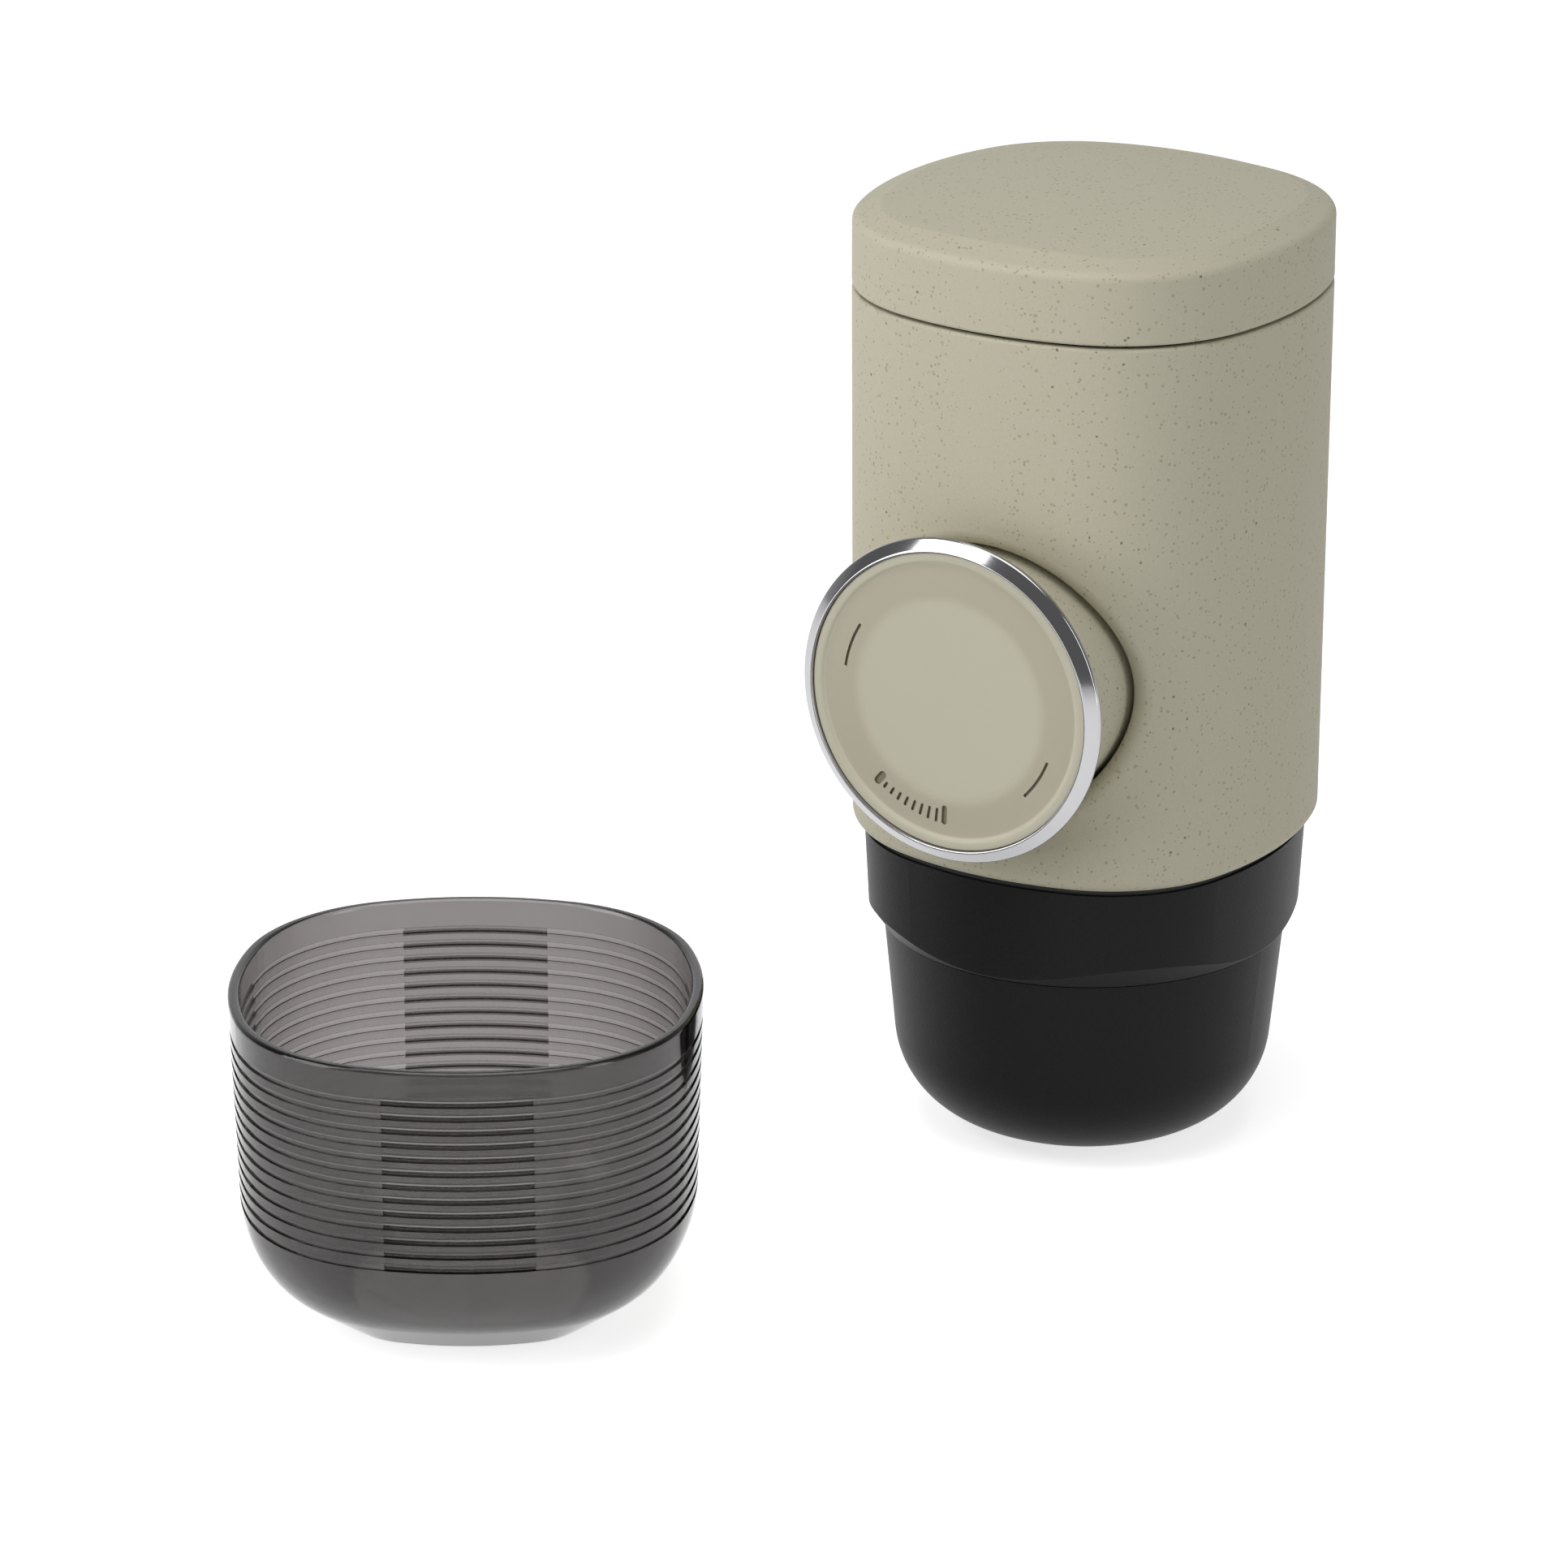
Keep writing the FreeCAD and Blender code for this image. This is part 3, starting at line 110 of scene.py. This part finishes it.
# %% Soft boxes
SOFT_BOXES = {
    # name: (degrees round from the camera, degrees up, distance, width, height, watts)
    "left_box": (-64, 24, 0.85, 0.50, 0.90, 5.2),
    "right_box": (50, 16, 0.90, 0.26, 0.90, 2.3),
    "top_box": (-10, 78, 0.90, 0.70, 0.70, 3.6),
}
for name, (turn, up, distance, width, height, watts) in SOFT_BOXES.items():
    lamp = bpy.data.lights.new(name, "AREA")
    lamp.shape = "RECTANGLE"
    lamp.size, lamp.size_y = width, height
    lamp.energy = watts
    box_object = bpy.data.objects.new(name, lamp)
    box_object.location = seen_from(CAMERA_AZIMUTH + math.radians(turn), math.radians(up), distance)
    look_at(box_object)
    bpy.context.scene.collection.objects.link(box_object)
print("soft boxes:", ", ".join(SOFT_BOXES))

# %% [markdown]
# ## Small tools for shader nodes
# The world and every finish are trees of shader nodes. A value that goes into a node is either
# plain, such as a number or a colour, or a pair (node, output) that is linked to it. The tools give
# their results as such pairs, so one tool's result goes straight into the next.

# %% Node tools
MIX_FIRST, MIX_SECOND, MIX_RESULT = 6, 7, 2  # the Mix node's colour sockets go by number


def feed(tree, socket, value):
    """Link a socket to a (node, output) pair, or set it to a plain value."""
    if isinstance(value, tuple) and isinstance(value[0], bpy.types.Node):
        tree.links.new(value[0].outputs[value[1]], socket)
    else:
        socket.default_value = value


def add_node(tree, kind, **values):
    """A shader node, with its settings and sockets given by name."""
    node = tree.nodes.new(kind)
    for name, value in values.items():
        if hasattr(node, name):
            setattr(node, name, value)
        else:
            feed(tree, node.inputs[name.replace("_", " ")], value)
    return node


def add_math(tree, operation, *values, kind="ShaderNodeMath", result=0):
    """A Math node. Its inputs are given in order."""
    node = add_node(tree, kind, operation=operation)
    for socket, value in zip(node.inputs, values):
        feed(tree, socket, value)
    return node, result


def vector_math(tree, operation, *values):
    """A Vector Math node. A length or a dot product is a number, anything else is a vector."""
    result = "Value" if operation in ("LENGTH", "DOT_PRODUCT") else "Vector"
    return add_math(tree, operation, *values, kind="ShaderNodeVectorMath", result=result)


def map_range(tree, value, start, end, low=0.0, high=1.0, **settings):
    """The value's way from start to end becomes a way from low to high."""
    node = add_node(tree, "ShaderNodeMapRange", **settings)
    given = {"Value": value, "From Min": start, "From Max": end, "To Min": low, "To Max": high}
    for name, number in given.items():
        feed(tree, node.inputs[name], number)
    return node, 0


def mix_colors(tree, factor, first, second):
    """A colour mix. Each colour is three numbers or a pair."""
    mix = tree.nodes.new("ShaderNodeMix")
    mix.data_type = "RGBA"
    feed(tree, mix.inputs["Factor"], factor)
    for socket, color in ((mix.inputs[MIX_FIRST], first), (mix.inputs[MIX_SECOND], second)):
        feed(tree, socket, color if isinstance(color[0], bpy.types.Node) else (*color, 1))
    return mix, MIX_RESULT


def new_finish(name, color, roughness, metallic=0.0, specular=0.5):
    """A material whose shader has plain numbers, ready for patterns."""
    material = bpy.data.materials.new(name)
    material.use_nodes = True
    shader = material.node_tree.nodes["Principled BSDF"]
    shader.inputs["Base Color"].default_value = (*color, 1)
    shader.inputs["Roughness"].default_value = roughness
    shader.inputs["Metallic"].default_value = metallic
    shader.inputs["Specular IOR Level"].default_value = specular
    return material, material.node_tree, shader


# %% [markdown]
# ## World and floor
# The world fills the shadows. The camera and glass see it as plain white. A mirror sees white
# behind the maker and the dimmer room in front of it, with a slow change from one to the other.

# %% World
WORLD_FILL = 0.12
WORLD_SEEN = 1.0
ROOM_SEEN = 0.17
ROOM_ENDS = 0.30
WHITE_BEGINS = 0.90

world = bpy.data.worlds.new("studio")
world.use_nodes = True
bpy.context.scene.world = world
tree = world.node_tree
tree.nodes.clear()
path = add_node(tree, "ShaderNodeLightPath")
direct = add_math(tree, "MAXIMUM", (path, "Is Camera Ray"), (path, "Is Transmission Ray"))
plain = map_range(tree, direct, 0, 1, WORLD_FILL, WORLD_SEEN)
ray_direction = (add_node(tree, "ShaderNodeTexCoord"), "Generated")
backwards = (-math.sin(CAMERA_AZIMUTH), math.cos(CAMERA_AZIMUTH), 0)
behind = vector_math(tree, "DOT_PRODUCT", ray_direction, backwards)
room = map_range(tree, behind, ROOM_ENDS, WHITE_BEGINS, ROOM_SEEN, WORLD_SEEN)
mirrored = add_math(tree, "MULTIPLY", (path, "Is Glossy Ray"), room)
strength = add_math(tree, "MAXIMUM", plain, mirrored)
sky = add_node(tree, "ShaderNodeBackground", Color=(1, 1, 1, 1), Strength=strength)
add_node(tree, "ShaderNodeOutputWorld", Surface=(sky, 0))
print("world fill", WORLD_FILL)

# %% [markdown]
# The floor is a pale sheet. Much of its whiteness is its own light, for the camera, mirrors and
# glass alone, so the open floor fades into the white background while the soft shadows stay.

# %% Floor
FLOOR_SIZE = 6.0
FLOOR_WHITE = (0.86, 0.86, 0.86)
FLOOR_LIFT = 0.72

bpy.ops.object.select_all(action="DESELECT")
bpy.ops.mesh.primitive_plane_add(size=FLOOR_SIZE, location=(0, 0, 0))
floor = bpy.context.object
floor.name = "floor"
paper, tree, shader = new_finish("floor_paper", FLOOR_WHITE, roughness=0.9, specular=0.1)
path = add_node(tree, "ShaderNodeLightPath")
looked_at = add_math(tree, "MAXIMUM", (path, "Is Camera Ray"), (path, "Is Glossy Ray"))
looked_at = add_math(tree, "MAXIMUM", looked_at, (path, "Is Transmission Ray"))
shader.inputs["Emission Color"].default_value = (1, 1, 1, 1)
feed(tree, shader.inputs["Emission Strength"], add_math(tree, "MULTIPLY", looked_at, FLOOR_LIFT))
floor.data.materials.append(paper)
print("floor", FLOOR_SIZE, "m square")

# %% [markdown]
# ## Shared effects
# Two effects return on several finishes. `fine_grain` is the sandblasted or soft-touch skin of a
# moulding tool, a height that feeds a bump. `flecks` are the small brown plant fibres that are mixed
# into the beige plastic: random dots, bent by a noise so that no two are alike.

# %% Node groups
FLECK_BEND = (0.0005, 0.0005, 0.0002)


def new_group(name, inputs, output):
    """A shader node group with named number inputs and one number output."""
    group = bpy.data.node_groups.new(name, "ShaderNodeTree")
    for label, value in inputs.items():
        socket = group.interface.new_socket(label, in_out="INPUT", socket_type="NodeSocketFloat")
        socket.default_value = value
    group.interface.new_socket(output, in_out="OUTPUT", socket_type="NodeSocketFloat")
    return group, add_node(group, "NodeGroupInput"), add_node(group, "NodeGroupOutput")


def make_fine_grain():
    group, given, result = new_group("fine_grain", {"Scale": 3000.0}, "Height")
    place = (add_node(group, "ShaderNodeTexCoord"), "Object")
    noise = add_node(group, "ShaderNodeTexNoise", Vector=place, Scale=(given, "Scale"),
                     Detail=2.0, Roughness=0.6)
    feed(group, result.inputs["Height"], (noise, 0))
    return group


def make_flecks():
    group, given, result = new_group("flecks", {"Scale": 600.0, "Size": 0.2, "Share": 0.5}, "Mask")
    place = (add_node(group, "ShaderNodeTexCoord"), "Object")
    bend = add_node(group, "ShaderNodeTexNoise", Vector=place, Scale=900.0, Detail=1.0)
    bent = vector_math(group, "MULTIPLY_ADD", (bend, "Color"), FLECK_BEND, place)
    cells = add_node(group, "ShaderNodeTexVoronoi", Vector=bent, Scale=(given, "Scale"))
    chance = add_node(group, "ShaderNodeSeparateColor", Color=(cells, "Color"))
    reach = add_math(group, "MULTIPLY", (chance, "Green"), (given, "Size"))
    inside = add_math(group, "LESS_THAN", (cells, "Distance"), reach)
    present = add_math(group, "LESS_THAN", (chance, "Red"), (given, "Share"))
    feed(group, result.inputs["Mask"], add_math(group, "MULTIPLY", inside, present))
    return group


FINE_GRAIN = make_fine_grain()
FLECKS = make_flecks()
print("node groups:", FINE_GRAIN.name, FLECKS.name)

# %% [markdown]
# ## Finishes
# Each finish is one Principled shader. What is the same all over the surface is set on the shader
# itself, and only what varies comes from nodes. A group is placed in each finish with its own
# values.

# %% Placing the groups


def place_group(tree, group, output, **values):
    """A group in a tree, with its own values. Its named output comes back as a pair."""
    node = tree.nodes.new("ShaderNodeGroup")
    node.node_tree = group
    for name, value in values.items():
        node.inputs[name].default_value = value
    return node, output


def add_grain(tree, shader, scale, depth):
    """Bump from the fine grain, with its depth in metres."""
    grain = place_group(tree, FINE_GRAIN, "Height", Scale=scale)
    bump = add_node(tree, "ShaderNodeBump", Strength=1.0, Distance=depth, Height=grain)
    feed(tree, shader.inputs["Normal"], (bump, "Normal"))
    return grain


# %% [markdown]
# The beige shell is plastic filled with ground plant fibre: matt, slightly mottled, with brown
# flecks of two sizes.

# %% Speckled beige
SHELL_BEIGE = (0.535, 0.508, 0.396)
SHELL_DEEPER = (0.470, 0.444, 0.340)
FLECK_BROWN = (0.235, 0.192, 0.125)
FLECK_FAINT = (0.390, 0.352, 0.258)


def make_shell_beige():
    material, tree, shader = new_finish("shell_beige", SHELL_BEIGE, roughness=0.56, specular=0.18)
    grain = add_grain(tree, shader, scale=2600.0, depth=0.00003)
    mottled = mix_colors(tree, grain, SHELL_DEEPER, SHELL_BEIGE)
    faint = place_group(tree, FLECKS, "Mask", Scale=1350.0, Size=0.34, Share=0.9)
    with_faint = mix_colors(tree, faint, mottled, FLECK_FAINT)
    strong = place_group(tree, FLECKS, "Mask", Scale=560.0, Size=0.13, Share=0.45)
    with_strong = mix_colors(tree, strong, with_faint, FLECK_BROWN)
    feed(tree, shader.inputs["Base Color"], with_strong)
    return material


SHELL = make_shell_beige()
print("made", SHELL.name)

# %% [markdown]
# The collar and the outlet head are black plastic with a soft-touch skin: its highlights are broad
# and dim, and very fine grains get a slightly lighter colour, painted glints for the light they
# catch.

# %% Soft-touch black
BLACK_SKIN = (0.0065, 0.0065, 0.0067)
# painted glints: a lighter colour that the fine grain mixes into the black
BLACK_PAINTED_GLINT = (0.0150, 0.0150, 0.0152)


def make_black_soft():
    material, tree, shader = new_finish("black_soft", BLACK_SKIN, roughness=0.40, specular=0.10)
    grain = add_grain(tree, shader, scale=4200.0, depth=0.00004)
    # the grain mixes the painted glint colour into the black skin
    feed(tree, shader.inputs["Base Color"], mix_colors(tree, grain, BLACK_SKIN, BLACK_PAINTED_GLINT))
    return material


BLACK = make_black_soft()
print("made", BLACK.name)

# %% [markdown]
# The knob's face is smoother beige plastic without flecks. Its colour follows its relief: the
# distance from the knob's axis finds the band, which is a shade darker than rim and dish, and what
# lies deeper than the band finds the pressed marks, which are coloured dark as painted shade.

# %% Knob face
KNOB_HEIGHT = 0.0748
FACE_BEIGE = (0.535, 0.508, 0.400)
BAND_BEIGE = (0.455, 0.420, 0.325)
# painted shade: the pressed marks are coloured dark for the shade in their pockets
MARK_PAINTED_SHADE = (0.250, 0.222, 0.160)
DISH_EDGE = (0.0136, 0.0156)
RIM_EDGE = (0.0198, 0.0195)
PRESSED_BEHIND = -0.03964


def make_face_beige():
    material, tree, shader = new_finish("face_beige", FACE_BEIGE, roughness=0.46, specular=0.25)
    place = (add_node(tree, "ShaderNodeTexCoord"), "Object")
    centred = vector_math(tree, "SUBTRACT", place, (0, 0, KNOB_HEIGHT))
    radius = vector_math(tree, "LENGTH", vector_math(tree, "MULTIPLY", centred, (1, 0, 1)))
    past_dish = map_range(tree, radius, *DISH_EDGE, interpolation_type="SMOOTHSTEP")
    within_rim = map_range(tree, radius, *RIM_EDGE, interpolation_type="SMOOTHSTEP")
    band = add_math(tree, "MULTIPLY", past_dish, within_rim)
    banded = mix_colors(tree, band, FACE_BEIGE, BAND_BEIGE)
    axes = add_node(tree, "ShaderNodeSeparateXYZ", Vector=place)
    pressed = add_math(tree, "GREATER_THAN", (axes, "Y"), PRESSED_BEHIND)
    # painted shade inside the pressed marks, kept off the dish
    mark_shade_mask = add_math(tree, "MULTIPLY", past_dish, pressed)
    feed(tree, shader.inputs["Base Color"], mix_colors(tree, mark_shade_mask, banded, MARK_PAINTED_SHADE))
    add_grain(tree, shader, scale=6000.0, depth=0.000006)
    return material


FACE = make_face_beige()
print("made", FACE.name)

# %% [markdown]
# The ring round the knob is bright plated metal. Screws, springs and plates are steel, seals are
# rubber, and the tank inside is clear. All of them have one colour and a fine grain.

# %% Bright ring, steel, rubber, inner plastic and tank
CLEAR_IOR = 1.49


def make_plain(name, color, roughness, scale, depth, metallic=0.0):
    """A finish of one colour with a fine grain."""
    material, tree, shader = new_finish(name, color, roughness, metallic)
    add_grain(tree, shader, scale, depth)
    return material


def new_clear(name, roughness, tint, density, scale):
    """Clear plastic, tinted through its thickness."""
    material, tree, shader = new_finish(name, (1, 1, 1), roughness)
    shader.inputs["Transmission Weight"].default_value = 1.0
    shader.inputs["IOR"].default_value = CLEAR_IOR
    absorb = add_node(tree, "ShaderNodeVolumeAbsorption", Color=(*tint, 1), Density=density)
    feed(tree, tree.nodes["Material Output"].inputs["Volume"], (absorb, 0))
    add_grain(tree, shader, scale, depth=0.000004)
    return material, tree, shader


RING = make_plain("bright_ring", (0.44, 0.44, 0.455), 0.12, 1500.0, 0.000001, metallic=1.0)
STEEL = make_plain("steel", (0.60, 0.60, 0.61), 0.28, 1500.0, 0.000004, metallic=1.0)
RUBBER = make_plain("rubber_seal", (0.018, 0.018, 0.019), 0.62, 1800.0, 0.00001)
GREY = make_plain("grey_inner", (0.115, 0.116, 0.118), 0.45, 1800.0, 0.00001)
TANK = new_clear("clear_tank", 0.12, (0.93, 0.95, 0.96), density=20.0, scale=900.0)[0]
print("finishes:", ", ".join(material.name for material in (RING, STEEL, RUBBER, GREY, TANK)))

# %% [markdown]
# The cup is a clear plastic tinted smoky grey: its colour comes from absorption, so thick places
# look darker than thin ones. Its ribs get painted shade, a little darker than its wall, and in the
# middle of each of its four flats they turn into thirteen bars of darker painted shade, for the light
# that the ribs bend. A mask finds them: a saw wave up the cup for the ribs, and the distance from
# the cup's two level axes for the bars. A Mapping node first turns and moves the pattern onto the
# cup, because the cup stands turned on the table.

# %% Smoky cup
CUP_PLACE = (-0.040, -0.100, 0.0)
CUP_TURN = math.radians(31)
CUP_RIM = 0.0460
SMOKE = (0.36, 0.33, 0.33)
SMOKE_DENSITY = 1450.0
RIB_PITCH = 0.0020
RIB_THICK = 0.0008
FIRST_RIB_TOP = CUP_RIM - 0.0042
LAST_RIB_FOOT = 0.0168
BAR_HALF = 0.0100
# painted shade: the ribs are a little darker and the bars in the middle of each flat much darker, for
# the light the ribs bend
RIB_PAINTED_SHADE = (0.86, 0.85, 0.84)
BAR_PAINTED_SHADE = (0.22, 0.21, 0.20)


def make_smoky_cup():
    material, tree, shader = new_clear("smoky_clear", 0.09, SMOKE, SMOKE_DENSITY, scale=2400.0)
    place = (add_node(tree, "ShaderNodeTexCoord"), "Object")
    onto_cup = add_node(tree, "ShaderNodeMapping", vector_type="TEXTURE", Vector=place,
                        Location=CUP_PLACE, Rotation=(0, 0, CUP_TURN))
    axes = add_node(tree, "ShaderNodeSeparateXYZ", Vector=(onto_cup, 0))
    height = (axes, "Z")
    from_rib = add_math(tree, "SUBTRACT", height, FIRST_RIB_TOP - RIB_THICK)
    saw = add_math(tree, "WRAP", from_rib, RIB_PITCH, 0.0)
    on_rib = add_math(tree, "LESS_THAN", saw, RIB_THICK)
    below_first = add_math(tree, "LESS_THAN", height, FIRST_RIB_TOP)
    above_last = add_math(tree, "GREATER_THAN", height, LAST_RIB_FOOT)
    ribs = add_math(tree, "MULTIPLY", on_rib, add_math(tree, "MULTIPLY", below_first, above_last))
    near_axis = [add_math(tree, "LESS_THAN", add_math(tree, "ABSOLUTE", (axes, axis)), BAR_HALF)
                 for axis in "XY"]
    bar_shade_mask = add_math(tree, "MULTIPLY", ribs, add_math(tree, "MAXIMUM", *near_axis))
    # painted shade on the ribs, and a darker painted shade on the bars
    rib_shaded = mix_colors(tree, ribs, (1, 1, 1), RIB_PAINTED_SHADE)
    feed(tree, shader.inputs["Base Color"], mix_colors(tree, bar_shade_mask, rib_shaded, BAR_PAINTED_SHADE))
    return material


SMOKY = make_smoky_cup()
print("made", SMOKY.name)

# %% [markdown]
# ## Dressing the solids
# The record names each node's material slot. Every solid takes the finish that belongs to its slot.

# %% Assign finishes
FINISH_OF_SLOT = {
    "shell_beige": SHELL, "black_soft": BLACK, "grey_inner": GREY, "clear_tank": TANK,
    "rubber_seal": RUBBER, "steel": STEEL, "bright_ring": RING, "smoky_clear": SMOKY,
}
for row in frame["record"]["subparts"]:
    item = nodes[row["node"]]
    item.data.materials.clear()
    item.data.materials.append(FINISH_OF_SLOT[row["material_slot"]])
print("dressed", len(nodes), "solids")

# %% [markdown]
# ## The knob
# The knob's ring is turned from one bar of metal: a cone that leans inwards, with every edge
# broken by a small round, and those rounds draw the thin bright lines. Its face is a moulded disc
# with a flat rim, a shallow band for the marks and a dished middle. Both are bodies of revolution,
# so one helper makes them as a turner would read the drawing: a circle primitive is extruded from
# one radius and depth to the next, and each new loop is resized about the knob's axis. Sizes of
# the knob are given in millimetres.

# %% Turning helper
MM = 0.001
TURN_SEGMENTS = 192
MERGE = 0.000001


def start_piece(name):
    """Give the new primitive its name and open it for editing with all of it selected."""
    piece = bpy.context.object
    piece.name = name
    bpy.ops.object.mode_set(mode="EDIT")
    bpy.ops.mesh.select_all(action="SELECT")
    return piece


def end_piece(piece, smooth_angle=40):
    """Close the seams, point the faces outwards, leave edit mode and put the place in the mesh."""
    bpy.ops.mesh.select_all(action="SELECT")
    bpy.ops.mesh.remove_doubles(threshold=MERGE)
    bpy.ops.mesh.normals_make_consistent(inside=False)
    bpy.ops.object.mode_set(mode="OBJECT")
    bpy.ops.object.transform_apply(location=True, rotation=True, scale=True)
    bpy.ops.object.shade_smooth_by_angle(angle=math.radians(smooth_angle))
    return piece


def select_where(piece, test):
    """Select the vertices whose place in the room passes the test."""
    bpy.ops.mesh.select_all(action="DESELECT")
    bpy.ops.object.mode_set(mode="OBJECT")
    for vertex in piece.data.vertices:
        vertex.select = test(piece.matrix_world @ vertex.co)
    bpy.ops.object.mode_set(mode="EDIT")


def turn_on_knob(name, profile, poles):
    """A solid turned about the knob's axis from (radius, out) points. Poles close its two ends."""
    profile = [(radius * MM, out * MM) for radius, out in profile]
    last_radius, last_out = profile[0]
    bpy.ops.object.select_all(action="DESELECT")
    bpy.ops.mesh.primitive_circle_add(vertices=TURN_SEGMENTS, radius=last_radius,
                                      location=(0, -last_out, KNOB_HEIGHT),
                                      rotation=(math.pi / 2, 0, 0))
    piece = start_piece(name)
    for radius, out in profile[1:]:
        bpy.ops.mesh.extrude_edges_move(TRANSFORM_OT_translate={"value": (0, last_out - out, 0)})
        ratio = radius / last_radius
        bpy.ops.transform.resize(value=(ratio, 1, ratio), center_override=(0, -out, KNOB_HEIGHT))
        last_radius, last_out = radius, out
    for radius, out in (profile[0], profile[-1]) if poles else ():
        select_where(piece, lambda at: math.hypot(at.x, at.z - KNOB_HEIGHT) < radius * 1.01
                     and abs(at.y + out) < MERGE)
        bpy.ops.mesh.merge(type="CENTER")
    return end_piece(piece)


# %% Bright ring
RING_PROFILE = [
    (21.42, 38.62), (23.08, 38.62), (23.24, 38.70), (23.30, 38.86), (23.30, 39.22), (23.25, 39.38),
    (23.12, 39.48), (21.90, 40.36), (21.74, 40.46), (21.60, 40.49), (21.48, 40.44), (21.42, 40.30),
    (21.42, 38.62),
]
knob_ring = turn_on_knob("knob_ring_turned", RING_PROFILE, poles=False)
knob_ring.data.materials.append(RING)
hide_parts("knob_ring")
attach(knob_ring, "knob")
print(knob_ring.name, len(knob_ring.data.polygons), "faces")

# %% [markdown]
# The face carries plain marks: a long narrow pill for locked, a shorter broad one for unlocked, a
# row of ticks that grow from one to the other, and two thin arcs. They are pressed into the
# moulding, so they are cut into the mesh. Each pill or tick is a small block at its angle on the
# band, each arc is a spun bar, and one Boolean modifier takes them all away. The dish follows a
# parabola, its deepest point at the middle.

# %% Knob face blank
BAND_OUT = 39.70
DISH_RADIUS = 15.2
DISH_DEPTH = 0.38
DISH_STEPS = (14.2, 12.6, 10.6, 8.4, 6.0, 3.6, 1.4, 0.4)
FACE_PROFILE = [
    (0.40, 39.02), (21.36, 39.02), (21.36, 39.92), (21.28, 40.04), (21.12, 40.09), (20.90, 40.10),
    (20.42, 40.10), (20.22, 40.07), (20.05, 39.98), (19.90, 39.84), (19.74, 39.74), (19.50, BAND_OUT),
    (18.60, BAND_OUT), (16.40, BAND_OUT), (DISH_RADIUS, BAND_OUT),
] + [(radius, BAND_OUT - DISH_DEPTH * (1 - (radius / DISH_RADIUS) ** 2)) for radius in DISH_STEPS]
knob_face = turn_on_knob("knob_face_marked", FACE_PROFILE, poles=True)
print(knob_face.name, len(knob_face.data.polygons), "faces before the marks")

# %% Tools for the marks
MARK_DEPTH = 0.00035
MARK_REACH = 0.0006
END_ROUND = 0.49


def place_on_band(angle, radius):
    """The middle of a mark's block, which reaches from MARK_DEPTH under the band to above it."""
    turn = math.radians(angle)
    middle = -(BAND_OUT * MM - MARK_DEPTH + MARK_REACH)
    return (radius * MM * math.cos(turn), middle, KNOB_HEIGHT + radius * MM * math.sin(turn))


def add_mark(angle, radius, length, width):
    """A block with rounded ends that lies along the radius at an angle on the face."""
    length, width = length * MM, width * MM
    bpy.ops.object.select_all(action="DESELECT")
    bpy.ops.mesh.primitive_cube_add(size=1, location=place_on_band(angle, radius))
    mark = bpy.context.object
    mark.rotation_euler = (0, -math.radians(angle), 0)
    mark.scale = (length, 2 * MARK_REACH, width)
    bpy.ops.object.transform_apply(location=False, rotation=False, scale=True)
    start_piece("mark")
    bpy.ops.mesh.select_all(action="DESELECT")
    bpy.ops.mesh.select_mode(type="EDGE")
    bpy.ops.object.mode_set(mode="OBJECT")
    points = mark.data.vertices
    for edge in mark.data.edges:
        first, second = (points[index].co for index in edge.vertices)
        edge.select = abs(first.y - second.y) > MARK_REACH
    bpy.ops.object.mode_set(mode="EDIT")
    bpy.ops.mesh.bevel(offset=width * END_ROUND, segments=6, affect="EDGES")
    bpy.ops.mesh.select_mode(type="VERT")
    return end_piece(mark)


def add_arc(start, end, radius, width):
    """A thin bar that follows a circle on the face: a small plane spun about the knob's axis."""
    bpy.ops.object.select_all(action="DESELECT")
    bpy.ops.mesh.primitive_plane_add(size=1, location=place_on_band(start, radius))
    arc = bpy.context.object
    arc.rotation_euler = (0, -math.radians(start), 0)
    arc.scale = (width * MM, 2 * MARK_REACH, 1)
    bpy.ops.object.transform_apply(location=True, rotation=True, scale=True)
    start_piece("mark")
    bpy.ops.mesh.spin(steps=16, angle=math.radians(end - start), center=(0, 0, KNOB_HEIGHT),
                      axis=(0, 1, 0))
    return end_piece(arc)


# %% Marks
LOCKED_ANGLE, UNLOCKED_ANGLE = -92.0, -129.5
TICK_COUNT = 8
TICK_RADIUS = 17.5
TICK_WIDTH = 0.44
SHORTEST_TICK = 1.1
TICK_GROWTH = 0.14
ARCS = ((148, 172), (-44, -21))
ARC_RADIUS = 16.6
ARC_WIDTH = 0.42

marks = [add_mark(LOCKED_ANGLE, radius=16.7, length=2.8, width=0.85),
         add_mark(UNLOCKED_ANGLE, radius=17.0, length=2.3, width=1.15)]
step = (LOCKED_ANGLE - UNLOCKED_ANGLE) / (TICK_COUNT + 1)
for index in range(TICK_COUNT):
    length = SHORTEST_TICK + TICK_GROWTH * index
    angle = UNLOCKED_ANGLE + step * (index + 1)
    marks.append(add_mark(angle, TICK_RADIUS - length / 4, length, TICK_WIDTH))
for start, end in ARCS:
    marks.append(add_arc(start, end, ARC_RADIUS, ARC_WIDTH))
print(len(marks), "marks")

# %% Press the marks into the face


def cut_away(piece, cutter):
    """Take a cutter's volume out of a piece and throw the cutter away."""
    modifier = piece.modifiers.new("press", "BOOLEAN")
    modifier.operation = "DIFFERENCE"
    modifier.solver = "EXACT"
    modifier.object = cutter
    bpy.context.view_layer.objects.active = piece
    bpy.ops.object.modifier_apply(modifier="press")
    bpy.data.objects.remove(cutter)


bpy.ops.object.select_all(action="DESELECT")
for mark in marks:
    mark.select_set(True)
bpy.context.view_layer.objects.active = marks[0]
bpy.ops.object.join()
cut_away(knob_face, bpy.context.object)
bpy.ops.object.select_all(action="DESELECT")
knob_face.select_set(True)
bpy.ops.object.shade_smooth_by_angle(angle=math.radians(30))
knob_face.data.materials.append(FACE)
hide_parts("knob_face")
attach(knob_face, "knob")
print(knob_face.name, len(knob_face.data.polygons), "faces")
